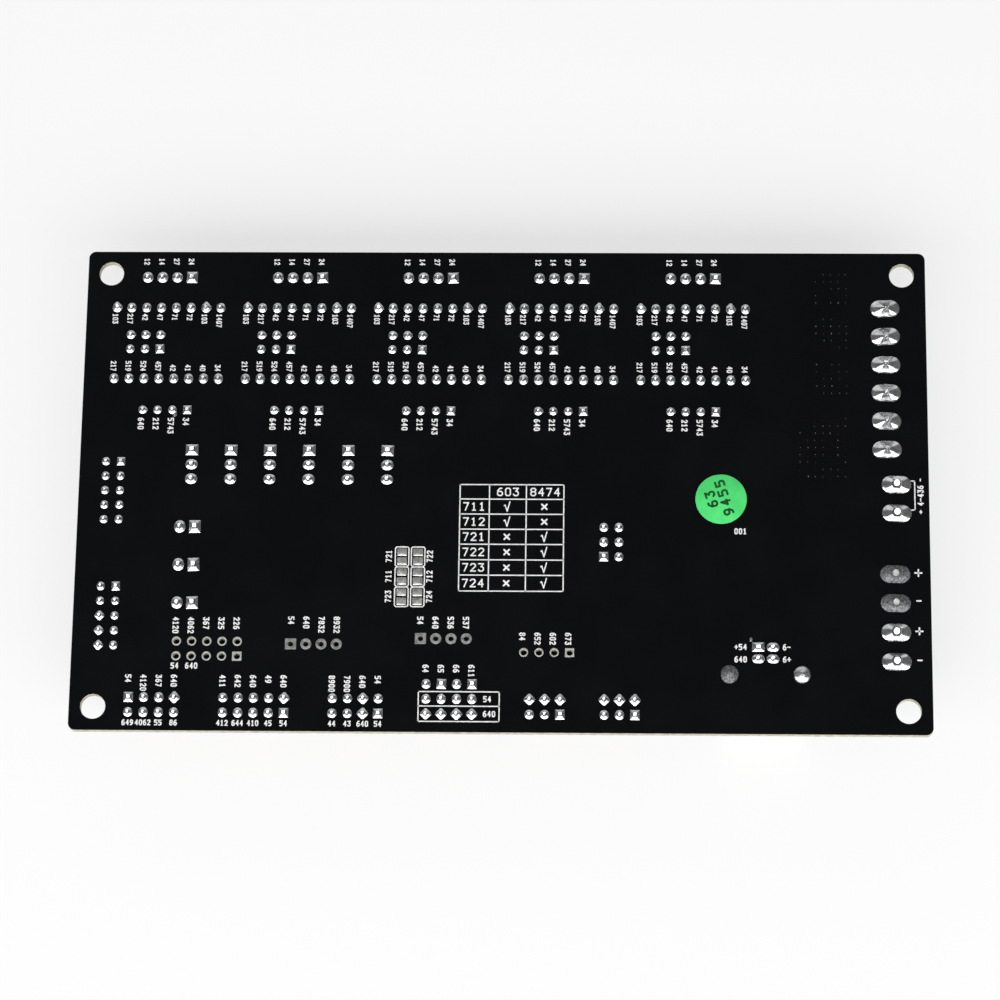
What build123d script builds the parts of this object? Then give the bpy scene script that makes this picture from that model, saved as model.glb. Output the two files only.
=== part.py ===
from build123d import *
from math import atan, degrees
import os

os.makedirs("parts", exist_ok=True)

# A printer controller board, lying on its tall parts with the soldered face up.
# X runs along the board, Y across it, and Z = 0 is the surface that it lies on.

# Board
board_thickness = 1.6
board_corner = 1.2
mount_hole = 4.2
mount_inset = 4.0
spare_hole = 1.0

# Pins, in millimetres between neighbours and across one square post
pitch = 2.54
post_side = 0.64

# Solder joints: width over the pad and height over the board
small_joint = 1.7
large_joint = 2.0
shell_joint = 3.0
joint_height = 1.5
screw_joint_length = 5.05
screw_joint_width = 3.2
screw_joint_corner = 0.94
screw_joint_height = 1.7
screw_joint_tip = 1.3

# Plain pin header
bar_height = 2.5
post_height = 8.5

# Driver socket
socket_pins = 8
socket_height = 8.5
socket_mouth = 1.0
socket_mouth_depth = 3.0

# Shorting cap over two posts
cap_gap = 0.14
cap_height = 6.0

# Wire connector, shrouded on four sides, with two key slots in its front wall
wire_end = 2.4
wire_back = 2.35
wire_front = 3.4
wire_height = 7.0
wire_wall = 0.8
wire_floor = 1.6
wire_post_height = 6.0
key_slot = 1.2

# Box header for a display cable
box_end = 5.08
box_width = 9.1
box_height = 9.1
box_wall = 1.2
box_floor = 2.5
box_post_height = 8.0
box_notch = 4.5

# Screw terminal
terminal_pitch = 5.0
terminal_depth = 10.0
terminal_height = 10.2
terminal_front = 5.2
terminal_slope = 2.4
terminal_crown = 5.6
wire_mouth = 3.6
wire_mouth_bottom = 1.8
wire_mouth_depth = 6.5
screw_well = 4.2
screw_head = 3.6
screw_depth = 1.2
screw_head_height = 1.8
screw_shank = 2.4
clamp_wall = 0.4
clamp_setback = 1.2

# USB socket
usb_width = 12.0
usb_height = 11.0
usb_length = 16.5
usb_sheet_wall = 0.35
usb_mouth_width = 8.45
usb_mouth_height = 7.8
usb_mouth_corner = 1.8
usb_mouth_depth = 9.0
usb_tongue_width = 5.6
usb_tongue_height = 3.2
usb_tongue_setback = 1.5
usb_tongue_length = usb_mouth_depth - usb_tongue_setback
usb_contact = 0.9
usb_contact_thickness = 0.25
usb_leg_from_front = 7.5
usb_setback = 2.6
usb_pin_spacing = 2.45
usb_pin_rows = 2.0
usb_pin_from_leg = 2.65

# Driver sockets and the rows in line with them, from the upper edge down
driver_count = 5
driver_end_gap = 3.92
driver_gap = 2.05
driver_rows = 12.7
edge_gap = 1.25
motor_gap = 1.86
microstep_gap = 2.33
step_gap = 3.05

# Wire connectors in the left half
endstop_count = 6
endstop_left = 6.32
endstop_top = 3.41
endstop_gap = 0.87
thermistor_count = 3
thermistor_left = 4.68
thermistor_top = 3.63
thermistor_gap = 0.85

# Box headers by the left edge
box_edge_gap = 1.18
box_top = 2.8
box_gap = 1.48
box_bottom = 2.5

# Headers along the lower edge: columns and rows, squared pads, and the gap before each one
lower_edge_gap = 1.81
lower_header_pins = {
    "aux_header_1": (4, 2),
    "aux_header_2": (5, 2),
    "aux_header_3": (4, 2),
    "servo_header": (4, 3),
    "signal_header_1": (3, 2),
    "signal_header_2": (3, 2),
}
lower_header_squared = {
    "aux_header_1": (0,),
    "aux_header_2": (9,),
    "aux_header_3": (7,),
    "servo_header": (1, 3),
    "signal_header_1": (5,),
    "signal_header_2": (5,),
}
lower_header_gaps = {
    "aux_header_1": 8.61,
    "aux_header_2": 5.56,
    "aux_header_3": 5.48,
    "servo_header": 5.36,
    "signal_header_1": 6.97,
    "signal_header_2": 4.75,
}

# Right part of the board, past the last driver
right_zone = 29.28
output_ways = 6
bed_ways = 2
power_ways = 4
output_inset = 6.92
bed_inset = 5.45
power_inset = 5.87
output_top = 7.42
bed_top = 1.13
power_top = 5.55
usb_inset = 27.5

# Header in the middle of the board and empty holes, from the left edge and the endstops
program_left = 87.31
program_top = 4.52
spare_row_pins = {
    "double": (5, 2),
    "left": (4, 1),
    "middle": (4, 1),
    "right": (4, 1),
}
spare_row_insets = {
    "double": (17.53, 25.79),
    "left": (36.59, 26.17),
    "middle": (58.21, 25.12),
    "right": (75.4, 27.4),
}

# Parts soldered flat on the hidden face
processor_size = (14.0, 14.0, 1.2)
usb_chip_size = (10.2, 5.3, 1.75)
regulator_size = (5.0, 4.0, 1.6)
inductor_side = 10.0
inductor_height = 4.2
inductor_corner = 2.2
crystal_size = (11.4, 4.7, 3.6)
fuse_size = (7.4, 5.1, 3.0)
transistor_size = (6.1, 6.6, 2.3)
bed_transistor_size = (9.2, 10.2, 4.4)
transistor_tab = 1.3
transistor_metal_thickness = 0.6
transistor_lead = 2.6
transistor_lead_width = 0.8
transistor_inset = 14.4
transistor_step = 8.0
bed_transistor_top = 3.93
capacitor_width = 8.0
capacitor_height = 10.2
input_capacitor_width = 10.0
capacitor_foot = 0.15
capacitor_foot_height = 1.2
capacitor_foot_corner = 1.5
power_rank = 17.0
input_capacitor_top = 6.15
fuse_top = 2.95
fuse_gap = 2.4
program_gap = 8.81
crystal_gap = 3.2
crystal_rank = 16.4
usb_chip_left = 13.5
usb_chip_rank = 9.4
regulator_gap = 9.61
regulator_top = 7.0
inductor_left = 4.5
inductor_gap = 5.0

# Reset switch
switch_side = 6.0
switch_height = 3.4
switch_gap = 3.85
switch_edge_gap = 2.2
button_width = 3.4
button_height = 5.0
button_clearance = 0.15
button_travel = 0.25
button_flange = 0.5
flange_height = 0.8
flange_room = flange_height + button_travel + button_clearance
switch_lid = 0.5

# Levels
board_face = max(usb_height, terminal_height, capacitor_height)
board_top = board_face + board_thickness

# Plan: the board's edges follow from what stands on it
driver_length = socket_pins * pitch
driver_step = driver_length + driver_gap
drivers_length = driver_count * driver_step - driver_gap
board_length = driver_end_gap + drivers_length + right_zone
left = -board_length / 2
right = board_length / 2
wire_depth = wire_front + wire_back

box_length = 4 * pitch + 2 * box_end
above_box = edge_gap + wire_depth + motor_gap + pitch + driver_rows + step_gap + pitch + box_top
below_box = box_bottom + 2 * pitch + lower_edge_gap
board_width = above_box + 2 * box_length + box_gap + below_box
upper = board_width / 2
lower = -board_width / 2

motor_y = upper - edge_gap - wire_front
upper_socket_y = motor_y - wire_back - motor_gap - pitch / 2
lower_socket_y = upper_socket_y - driver_rows
microstep_y = upper_socket_y - pitch / 2 - microstep_gap - pitch
step_y = lower_socket_y - pitch / 2 - step_gap - pitch / 2
step_low = step_y - pitch / 2
driver_x = [left + driver_end_gap + driver_length / 2 + i * driver_step for i in range(driver_count)]

box_x = left + box_edge_gap + box_width / 2
box_right = box_x + box_width / 2
box_y = [step_low - box_top - box_length / 2 - i * (box_length + box_gap) for i in range(2)]

endstop_length = 2 * pitch + 2 * wire_end
endstop_y = step_low - endstop_top - endstop_length / 2
endstop_low = endstop_y - endstop_length / 2
endstop_x = [
    box_right + endstop_left + wire_back + i * (wire_depth + endstop_gap)
    for i in range(endstop_count)
]
thermistor_x = box_right + thermistor_left + wire_end + pitch / 2
thermistor_y = [
    endstop_low - thermistor_top - wire_back - i * (wire_depth + thermistor_gap)
    for i in range(thermistor_count)
]

lower_row_y = lower + lower_edge_gap + pitch / 2
program_x = left + program_left + pitch
program_y = endstop_low - program_top - 1.5 * pitch

output_y = upper - output_top - output_ways * terminal_pitch / 2
bed_y = output_y - (output_ways + bed_ways) * terminal_pitch / 2 - bed_top
power_y = bed_y - (bed_ways + power_ways) * terminal_pitch / 2 - power_top
terminals = {
    "output_terminal": (output_ways, right - output_inset, output_y),
    "bed_terminal": (bed_ways, right - bed_inset, bed_y),
    "power_terminal": (power_ways, right - power_inset, power_y),
}
usb_x = right - usb_inset
usb_front = lower + usb_setback
usb_leg_y = usb_front + usb_leg_from_front

transistor_x = right - transistor_inset - transistor_size[0] / 2
bed_transistor_x = right - transistor_inset - bed_transistor_size[0] / 2
transistor_y = [output_y + place * transistor_step for place in (2, 1, 0)]
bed_transistor_y = transistor_y[-1] - transistor_size[1] / 2 - bed_transistor_top
bed_transistor_y -= bed_transistor_size[1] / 2
transistors = [(transistor_size, transistor_x, y) for y in transistor_y]
transistors.append((bed_transistor_size, bed_transistor_x, bed_transistor_y))

capacitor_x = [x + driver_step / 2 for x in driver_x]
input_capacitor_x = right - power_rank
input_capacitor_y = bed_transistor_y - bed_transistor_size[1] / 2 - input_capacitor_top
input_capacitor_y -= input_capacitor_width / 2
fuse_y = input_capacitor_y - input_capacitor_width / 2 - fuse_top - fuse_size[1] / 2
fuse_places = [(right - power_rank, fuse_y - i * (fuse_size[1] + fuse_gap)) for i in range(2)]

processor_x = program_x - pitch - program_gap - processor_size[0] / 2
processor_y = endstop_low - processor_size[1] / 2
crystal_places = [
    (processor_x, processor_y - processor_size[1] / 2 - crystal_gap - crystal_size[1] / 2),
    (usb_x - usb_chip_left, usb_leg_y + crystal_rank),
]
usb_chip_x = usb_x - usb_chip_left
usb_chip_y = usb_leg_y + usb_chip_rank
regulator_x = program_x + pitch + regulator_gap + regulator_size[0] / 2
regulator_y = endstop_low - regulator_top
inductor_x = usb_x - inductor_left
inductor_y = regulator_y + regulator_size[1] / 2 + inductor_gap + inductor_side / 2
switch_x = usb_x - usb_width / 2 - switch_gap - switch_side / 2
switch_y = lower + switch_edge_gap + switch_side / 2


# Pin centres of one connector, row by row from its upper left
def pins(x, y, columns, rows):
    first_x = x - (columns - 1) * pitch / 2
    first_y = y + (rows - 1) * pitch / 2
    return [
        (first_x + column * pitch, first_y - row * pitch)
        for row in range(rows)
        for column in range(columns)
    ]


# Turns a part that was drawn standing on its board face over, and hangs it under the board
def hang(shape, x, y, turn=0):
    return Pos(x, y, board_face) * Rot(0, 0, turn) * Rot(180, 0, 0) * shape


def save(name, *shapes):
    solids = [solid for shape in shapes for solid in shape.solids()]
    export_step(Compound(solids), f"parts/{name}.step")


# Drawn with its pins on the X axis and its front wall towards -Y
def wire_housing(ways):
    length = (ways - 1) * pitch + 2 * wire_end
    outline = Pos(0, (wire_back - wire_front) / 2) * Rectangle(length, wire_depth)
    room = wire_height - wire_floor
    housing = extrude(outline, wire_height)
    housing -= Pos(0, 0, wire_floor) * extrude(offset(outline, -wire_wall, kind=Kind.INTERSECTION), room)
    for side in (-1, 1):
        key_x = side * (ways - 1) * pitch / 2
        key = Pos(key_x, wire_wall / 2 - wire_front) * Rectangle(key_slot, wire_wall)
        housing -= Pos(0, 0, wire_floor) * extrude(key, room)
    return housing


def header_bar(columns, rows):
    return extrude(Rectangle(columns * pitch, rows * pitch), bar_height)


def driver_socket():
    socket = extrude(Rectangle(driver_length, pitch), socket_height)
    mouth = extrude(Rectangle(socket_mouth, socket_mouth), -socket_mouth_depth)
    return socket - [Pos(x, y, socket_height) * mouth for x, y in pins(0, 0, socket_pins, 1)]


def shorting_cap():
    outline = Rectangle(pitch - cap_gap, 2 * pitch - cap_gap)
    return Pos(0, 0, bar_height) * extrude(outline, cap_height)


# A tray round the pins, with the notch that turns the cable's plug the right way round
def box_header():
    outline = Rectangle(box_length, box_width)
    room = box_height - box_floor
    tray = extrude(outline, box_height)
    tray -= Pos(0, 0, box_floor) * extrude(offset(outline, -box_wall, kind=Kind.INTERSECTION), room)
    notch = Pos(0, (box_wall - box_width) / 2) * Rectangle(box_notch, box_wall)
    return tray - Pos(0, 0, box_floor) * extrude(notch, room)


def octagon(width):
    return RegularPolygon(width / 2, 8, major_radius=False, rotation=22.5)


# Side view of the block swept along its ways, with a wire mouth and a screw well for each
def terminal_block(ways):
    length = ways * terminal_pitch
    back = terminal_depth - terminal_front
    shoulder = terminal_height - terminal_slope
    side = Polyline(
        (-terminal_front, 0),
        (-terminal_front, shoulder),
        (-terminal_crown / 2, terminal_height),
        (terminal_crown / 2, terminal_height),
        (back, shoulder),
        (back, 0),
        close=True,
    )
    block = extrude(Plane.YZ * make_face(side), length / 2, both=True)
    places = GridLocations(terminal_pitch, 0, ways, 1)
    mouth_z = wire_mouth_bottom + wire_mouth / 2
    mouth = Pos(0, wire_mouth_depth / 2 - terminal_front, mouth_z)
    mouth = mouth * Box(wire_mouth, wire_mouth_depth, wire_mouth)
    well = Pos(0, 0, terminal_height) * extrude(octagon(screw_well), -well_depth)
    return block - [place * cut for place in places for cut in (mouth, well)]


# The well opens into the wire mouth, and the screw stands in it on the clamp
mouth_top = wire_mouth_bottom + wire_mouth
well_depth = terminal_height - mouth_top
screw_top = terminal_height - screw_depth


def terminal_screw():
    head = Pos(0, 0, screw_top) * extrude(octagon(screw_head), -screw_head_height)
    shank_top = screw_top - screw_head_height
    shank = Pos(0, 0, shank_top) * extrude(octagon(screw_shank), -(shank_top - mouth_top))
    return head + shank


# A sheet-metal sleeve that the wire enters and the screw presses on
def terminal_clamp():
    sleeve = offset(Rectangle(wire_mouth, wire_mouth), -clamp_wall, kind=Kind.INTERSECTION)
    sleeve = Rectangle(wire_mouth, wire_mouth) - sleeve
    behind_mouth = wire_mouth_depth - clamp_setback
    start = Pos(0, clamp_setback - terminal_front, wire_mouth_bottom + wire_mouth / 2)
    return start * extrude(Plane.XZ * sleeve, -behind_mouth)


# Sheet metal folded round three sides and the back, drawn with its mouth on the X axis facing +Y
def usb_sheet():
    outside = Rectangle(usb_width, usb_height, align=(Align.CENTER, Align.MIN))
    sheet = extrude(Plane.XZ * (outside - usb_room()), usb_length)
    back = Pos(0, usb_sheet_wall - usb_length) * extrude(Plane.XZ * outside, usb_sheet_wall)
    return sheet + back


def usb_room():
    width = usb_width - 2 * usb_sheet_wall
    return Rectangle(width, usb_height - usb_sheet_wall, align=(Align.CENTER, Align.MIN))


# The moulding inside, with the plug's square mouth and the tongue that carries the contacts
def usb_moulding():
    mouth = Rectangle(usb_mouth_width, usb_mouth_height)
    mouth = chamfer(mouth.vertices().group_by(Axis.Y)[-1], usb_mouth_corner)
    centre = Pos(0, 0, usb_height / 2)
    moulding = extrude(Plane.XZ * usb_room(), usb_length - usb_sheet_wall)
    moulding -= centre * extrude(Plane.XZ * mouth, usb_mouth_depth)
    tongue = extrude(Plane.XZ * Rectangle(usb_tongue_width, usb_tongue_height), usb_tongue_length)
    return moulding + Pos(0, -usb_tongue_setback, 0) * centre * tongue


# Two contacts above the tongue and two below it
def usb_contacts():
    strip = Box(usb_contact, usb_tongue_length, usb_contact_thickness)
    rise = (usb_tongue_height + usb_contact_thickness) / 2
    middle = Pos(0, -usb_tongue_setback - usb_tongue_length / 2, usb_height / 2)
    return [
        middle * Pos(across * usb_pin_spacing / 2, 0, along * rise) * strip
        for across in (-1, 1)
        for along in (-1, 1)
    ]


def block(size):
    length, width, height = size
    return extrude(Rectangle(length, width), height)


def inductor():
    outline = Rectangle(inductor_side, inductor_side)
    return extrude(chamfer(outline.vertices(), inductor_corner), inductor_height)


def crystal():
    length, width, height = crystal_size
    return extrude(SlotOverall(length, width), height)


# A can on a square foot that has two corners cut off
def capacitor(width):
    foot = Rectangle(width + 2 * capacitor_foot, width + 2 * capacitor_foot)
    foot = chamfer(foot.vertices().group_by(Axis.X)[-1], capacitor_foot_corner)
    can = Pos(0, 0, capacitor_foot_height) * extrude(
        Circle(width / 2), capacitor_height - capacitor_foot_height
    )
    return extrude(foot, capacitor_foot_height) + can


# Tab under the body's far end and two leads at its near end, all flat on the board
def transistor_metal(size):
    length, width, height = size
    tab = Pos((length + transistor_tab) / 2, 0) * Rectangle(transistor_tab, width)
    lead = Rectangle(transistor_lead, transistor_lead_width)
    near = -(length + transistor_lead) / 2
    leads = [Pos(near, side * width / 3) * lead for side in (-1, 1)]
    return [extrude(shape, transistor_metal_thickness) for shape in (tab, *leads)]


# A stepped well holds the button's flange under the lid
def switch_housing():
    housing = extrude(Rectangle(switch_side, switch_side), switch_height)
    housing -= Pos(0, 0, switch_height) * extrude(Circle(button_width / 2 + button_clearance), -switch_lid)
    room = Circle(button_width / 2 + button_flange + button_clearance)
    return housing - Pos(0, 0, switch_height - switch_lid) * extrude(room, -flange_room)


def button():
    under_lid = switch_height - switch_lid
    stem = Pos(0, 0, under_lid) * extrude(Circle(button_width / 2), button_height - under_lid)
    flange = Circle(button_width / 2 + button_flange)
    return stem + Pos(0, 0, under_lid) * extrude(flange, -flange_height)


def board():
    outline = RectangleRounded(board_length, board_width, board_corner)
    mounts = GridLocations(board_length - 2 * mount_inset, board_width - 2 * mount_inset, 2, 2)
    outline -= mounts * Circle(mount_hole / 2)
    outline -= [Pos(x, y) * octagon(spare_hole) for x, y in spare_pins()]
    return Pos(0, 0, board_face) * extrude(outline, board_thickness)


def spare_pins():
    points = []
    for name, (columns, rows) in spare_row_pins.items():
        from_left, below_endstops = spare_row_insets[name]
        x = left + from_left + (columns - 1) * pitch / 2
        y = endstop_low - below_endstops - (rows - 1) * pitch / 2
        points += pins(x, y, columns, rows)
    return points


# Solder narrows from its pad to the pin's tip; the pad of pin 1 is square
def pin_joint(x, y, width, squared=False):
    pad = Rectangle(width, width) if squared else octagon(width)
    joint = loft([pad.face(), Vertex(0, 0, joint_height)], ruled=True)
    return Pos(x, y, board_top) * joint


def screw_joint(x, y):
    pad = Rectangle(screw_joint_length, screw_joint_width)
    pad = chamfer(pad.vertices(), screw_joint_corner)
    lean = atan((screw_joint_width - screw_joint_tip) / 2 / screw_joint_height)
    return Pos(x, y, board_top) * extrude(pad, screw_joint_height, taper=degrees(lean))


# Solder fills each drilled hole to its wall, so the board stays whole under a joint: the joint
# stands on the soldered face, and the pin starts again from the housing on the other side.
joints = []
posts = []


def connect(x, y, columns, rows, squared=(), width=small_joint, post=None):
    for i, (pin_x, pin_y) in enumerate(pins(x, y, columns, rows)):
        joints.append(pin_joint(pin_x, pin_y, width, i in squared))
        if post:
            low, high = post
            shape = Pos(0, 0, low) * extrude(Rectangle(post_side, post_side), high - low)
            posts.append(hang(shape, pin_x, pin_y))


bar_post = (bar_height, post_height)
wire_post = (wire_floor, wire_post_height)
box_post = (box_floor, box_post_height)

save("board", board())

# One set of connectors for each motor driver
caps = []
for number, x in enumerate(driver_x, 1):
    save(f"motor_connector_{number}", hang(wire_housing(4), x, motor_y))
    connect(x, motor_y, 4, 1, squared=(3,), width=large_joint, post=wire_post)

    sockets = [hang(driver_socket(), x, y) for y in (upper_socket_y, lower_socket_y)]
    save(f"driver_sockets_{number}", *sockets)
    connect(x, upper_socket_y, socket_pins, 1)
    connect(x, lower_socket_y, socket_pins, 1)

    microstep_x = x - 1.5 * pitch
    save(f"microstep_header_{number}", hang(header_bar(3, 2), microstep_x, microstep_y))
    connect(microstep_x, microstep_y, 3, 2, squared=(5,))
    caps += [hang(shorting_cap(), microstep_x + step * pitch, microstep_y) for step in (-1, 0, 1)]

    save(f"step_header_{number}", hang(header_bar(4, 1), x, step_y))
    connect(x, step_y, 4, 1, squared=(3,), post=bar_post)
save("microstep_caps", *caps)

for number, x in enumerate(endstop_x, 1):
    save(f"endstop_connector_{number}", hang(wire_housing(3), x, endstop_y, turn=-90))
    connect(x, endstop_y, 1, 3, squared=(0,), width=large_joint, post=wire_post)

for number, y in enumerate(thermistor_y, 1):
    save(f"thermistor_connector_{number}", hang(wire_housing(2), thermistor_x, y, turn=180))
    connect(thermistor_x, y, 2, 1, squared=(1,), width=large_joint, post=wire_post)

for number, y in enumerate(box_y, 1):
    save(f"box_header_{number}", hang(box_header(), box_x, y, turn=-90))
    connect(box_x, y, 2, 5, squared=(1,), post=box_post)

header_x = left
for name, (columns, rows) in lower_header_pins.items():
    header_x += lower_header_gaps[name] + columns * pitch / 2
    y = lower_row_y + (rows - 1) * pitch / 2
    save(name, hang(header_bar(columns, rows), header_x, y))
    connect(header_x, y, columns, rows, squared=lower_header_squared[name], post=bar_post)
    header_x += columns * pitch / 2

save("program_header", hang(header_bar(2, 3), program_x, program_y))
connect(program_x, program_y, 2, 3, squared=(4,), post=bar_post)

# Screw terminals
screws = []
clamps = []
for name, (ways, x, y) in terminals.items():
    save(name, hang(terminal_block(ways), x, y, turn=-90))
    for place in GridLocations(0, terminal_pitch, 1, ways):
        way_y = y + place.position.Y
        screws.append(hang(terminal_screw(), x, way_y, turn=-90))
        clamps.append(hang(terminal_clamp(), x, way_y, turn=-90))
        joints.append(screw_joint(x, way_y))
save("terminal_screws", *screws)
save("terminal_clamps", *clamps)

# USB socket, with its four pins and the two legs of its shell
save("usb_shell", hang(usb_sheet(), usb_x, usb_front))
save("usb_core", hang(usb_moulding(), usb_x, usb_front))
posts += [hang(contact, usb_x, usb_front) for contact in usb_contacts()]
for column in (-1, 1):
    for row in (0, 1):
        pin_y = usb_leg_y + usb_pin_from_leg + row * usb_pin_rows
        pin_x = usb_x + column * usb_pin_spacing / 2
        joints.append(pin_joint(pin_x, pin_y, small_joint, column < 0 and row == 1))
    joints.append(pin_joint(usb_x + column * usb_width / 2, usb_leg_y, shell_joint))

save("contact_pins", *posts)
save("solder_joints", *joints)

# Parts soldered flat on the hidden face
chips = {
    "processor": (processor_size, processor_x, processor_y),
    "usb_chip": (usb_chip_size, usb_chip_x, usb_chip_y),
    "regulator": (regulator_size, regulator_x, regulator_y),
}
for name, (size, x, y) in chips.items():
    save(name, hang(block(size), x, y))
save("inductor", hang(inductor(), inductor_x, inductor_y))
save("crystals", *[hang(crystal(), x, y) for x, y in crystal_places])
save("fuses", *[hang(block(fuse_size), x, y) for x, y in fuse_places])

bodies = [hang(block(size), x, y) for size, x, y in transistors]
metal = [hang(shape, x, y) for size, x, y in transistors for shape in transistor_metal(size)]
save("transistors", *bodies)
save("transistor_tabs", *metal)

cans = [hang(capacitor(capacitor_width), x, motor_y) for x in capacitor_x]
cans.append(hang(capacitor(input_capacitor_width), input_capacitor_x, input_capacitor_y))
save("capacitors", *cans)

save("reset_switch", hang(switch_housing(), switch_x, switch_y))
save("reset_button", hang(button(), switch_x, switch_y))
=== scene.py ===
import math
import random

import bpy
from mathutils import Matrix, Vector


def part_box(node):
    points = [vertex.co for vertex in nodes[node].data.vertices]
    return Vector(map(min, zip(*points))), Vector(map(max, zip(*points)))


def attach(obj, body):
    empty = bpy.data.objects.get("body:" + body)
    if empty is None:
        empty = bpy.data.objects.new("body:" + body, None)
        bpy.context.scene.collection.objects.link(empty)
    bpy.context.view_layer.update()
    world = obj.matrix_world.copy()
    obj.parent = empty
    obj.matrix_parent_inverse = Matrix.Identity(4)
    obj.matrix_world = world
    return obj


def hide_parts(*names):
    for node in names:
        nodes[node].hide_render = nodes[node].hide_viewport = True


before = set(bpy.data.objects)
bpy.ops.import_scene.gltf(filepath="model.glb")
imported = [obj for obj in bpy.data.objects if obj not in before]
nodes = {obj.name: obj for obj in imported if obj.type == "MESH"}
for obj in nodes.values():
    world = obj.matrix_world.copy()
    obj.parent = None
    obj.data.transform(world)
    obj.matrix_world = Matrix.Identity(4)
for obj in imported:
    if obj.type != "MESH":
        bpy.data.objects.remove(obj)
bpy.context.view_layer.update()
mm = 0.001
boardLow, boardHigh = (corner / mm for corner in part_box("board"))
solderFace = boardHigh.z  # uppermost, as the board lies on its parts
partsFace = boardLow.z
pitch = 2.54
chance = random.Random(11)
nodeBoxes = {name: [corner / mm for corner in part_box(name)] for name in nodes}
print("frame loaded")


# Selecting and shaping, all in millimetres


def onlySelect(*objects):
    bpy.ops.object.select_all(action="DESELECT")
    for thing in objects:
        thing.select_set(True)
    bpy.context.view_layer.objects.active = objects[0]


def nameNew(name):
    piece = bpy.context.object
    piece.name = name
    piece.data.name = name
    onlySelect(piece)
    return piece


def addRound(name, radius, low, high, sides=16, x=0, y=0):
    bpy.ops.object.select_all(action="DESELECT")
    bpy.ops.mesh.primitive_cylinder_add(
        vertices=sides, radius=radius * mm, depth=(high - low) * mm,
        location=(x * mm, y * mm, (low + high) / 2 * mm), rotation=(0, 0, math.pi / sides),
    )
    return settle(nameNew(name))


def addBlock(name, low, high):
    low, high = Vector(low), Vector(high)
    bpy.ops.object.select_all(action="DESELECT")
    bpy.ops.mesh.primitive_cube_add(
        size=1, location=(low + high) / 2 * mm, scale=(high - low) * mm
    )
    return settle(nameNew(name))


def settle(piece):
    # A finished piece sits at the origin, unturned, with its place in its mesh
    onlySelect(piece)
    bpy.ops.object.transform_apply(location=True, rotation=True, scale=True)
    return piece


def chooseParts(piece, parts, kind, test):
    # Goes into edit mode with only the parts that pass the test selected
    onlySelect(piece)
    bpy.ops.object.mode_set(mode="EDIT")
    bpy.ops.mesh.select_mode(type=kind)
    bpy.ops.mesh.select_all(action="DESELECT")
    bpy.ops.object.mode_set(mode="OBJECT")
    for part in parts:
        part.select = bool(test(part))
    bpy.ops.object.mode_set(mode="EDIT")


def editFaces(piece, test=lambda face: True):
    chooseParts(piece, piece.data.polygons, "FACE", test)


def editEdges(piece, test):
    ends = [point.co / mm for point in piece.data.vertices]
    chooseParts(
        piece, piece.data.edges, "EDGE", lambda edge: test(*(ends[i] for i in edge.vertices))
    )


def editPoints(piece, test=lambda point: True):
    chooseParts(piece, piece.data.vertices, "VERT", lambda point: test(point.co / mm))


def leaveEdit():
    bpy.ops.object.mode_set(mode="OBJECT")


def extrude(x, y, z):
    bpy.ops.mesh.extrude_region_move(TRANSFORM_OT_translate={"value": (x * mm, y * mm, z * mm)})


def raiseRings(piece, rings, slide=0, cut=0):
    # Extrudes the top up through rings of (width share, depth share, height step), each moved
    # towards the lower edge by slide, with the last one cut at an angle
    editFaces(piece, lambda face: face.normal.z > 0.9)
    width = depth = 1
    for nextWidth, nextDepth, step in rings:
        extrude(0, -slide, step)
        bpy.ops.transform.resize(value=(nextWidth / width, nextDepth / depth, 1))
        width, depth = nextWidth, nextDepth
    if cut:
        bpy.ops.transform.rotate(
            value=math.radians(cut), orient_axis="X",
            center_override=(0, 0, sum(ring[2] for ring in rings) * mm),
        )
    leaveEdit()


def bevelUpright(piece, radius, segments=1, test=lambda point: True):
    # Rounds the edges that run from the foot of a block to its top
    editEdges(piece, lambda a, b: abs(a.z - b.z) > 0.001 and test(a))
    bpy.ops.mesh.bevel(offset=radius * mm, segments=segments)
    leaveEdit()


def applyModifier(piece, kind, **settings):
    onlySelect(piece)
    modifier = piece.modifiers.new(kind.title(), kind)
    for name, value in settings.items():
        setattr(modifier, name, value)
    bpy.ops.object.modifier_apply(modifier=modifier.name)


def cutAway(piece, cutter):
    applyModifier(piece, "BOOLEAN", operation="DIFFERENCE", object=cutter, solver="EXACT")
    bpy.data.objects.remove(cutter)


def breakEdges(piece, width, segments=2, angle=35):
    applyModifier(
        piece, "BEVEL", width=width * mm, segments=segments, limit_method="ANGLE",
        angle_limit=math.radians(angle),
    )


def smooth(piece, angle=40):
    onlySelect(piece)
    bpy.ops.object.shade_smooth_by_angle(angle=math.radians(angle))


def mergePoints(piece):
    editPoints(piece)
    bpy.ops.mesh.remove_doubles(threshold=0.001 * mm)
    leaveEdit()


def copyTo(master, places):
    # Each place is a matrix, and each copy has its own mesh
    copies = []
    for place in places:
        copy = bpy.data.objects.new(master.name + "Copy", master.data.copy())
        copy.data.transform(place)
        bpy.context.scene.collection.objects.link(copy)
        copies.append(copy)
    return copies


def joinAs(name, pieces):
    onlySelect(*pieces)
    if len(pieces) > 1:
        bpy.ops.object.join()
    return nameNew(name)


def useUp(master, places):
    copies = copyTo(master, places)
    bpy.data.objects.remove(master)
    return copies


def spread(name, master, places):
    return joinAs(name, useUp(master, places))


def at(x, y, z=0, turn=0, lean=0, sway=0, width=1, depth=1, height=1):
    place = Matrix.Translation(Vector((x, y, z)) * mm)
    place = place @ Matrix.Rotation(math.radians(turn), 4, "Z")
    place = place @ Matrix.Rotation(math.radians(lean), 4, "X")
    place = place @ Matrix.Rotation(math.radians(sway), 4, "Y")
    return place @ Matrix.Diagonal((width, depth, height, 1))


def finish(piece, material, replaced=(), body="board"):
    if material:
        piece.data.materials.clear()
        piece.data.materials.append(material)
    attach(piece, body)
    if replaced:
        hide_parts(*replaced)
    return piece


# Materials


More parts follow.
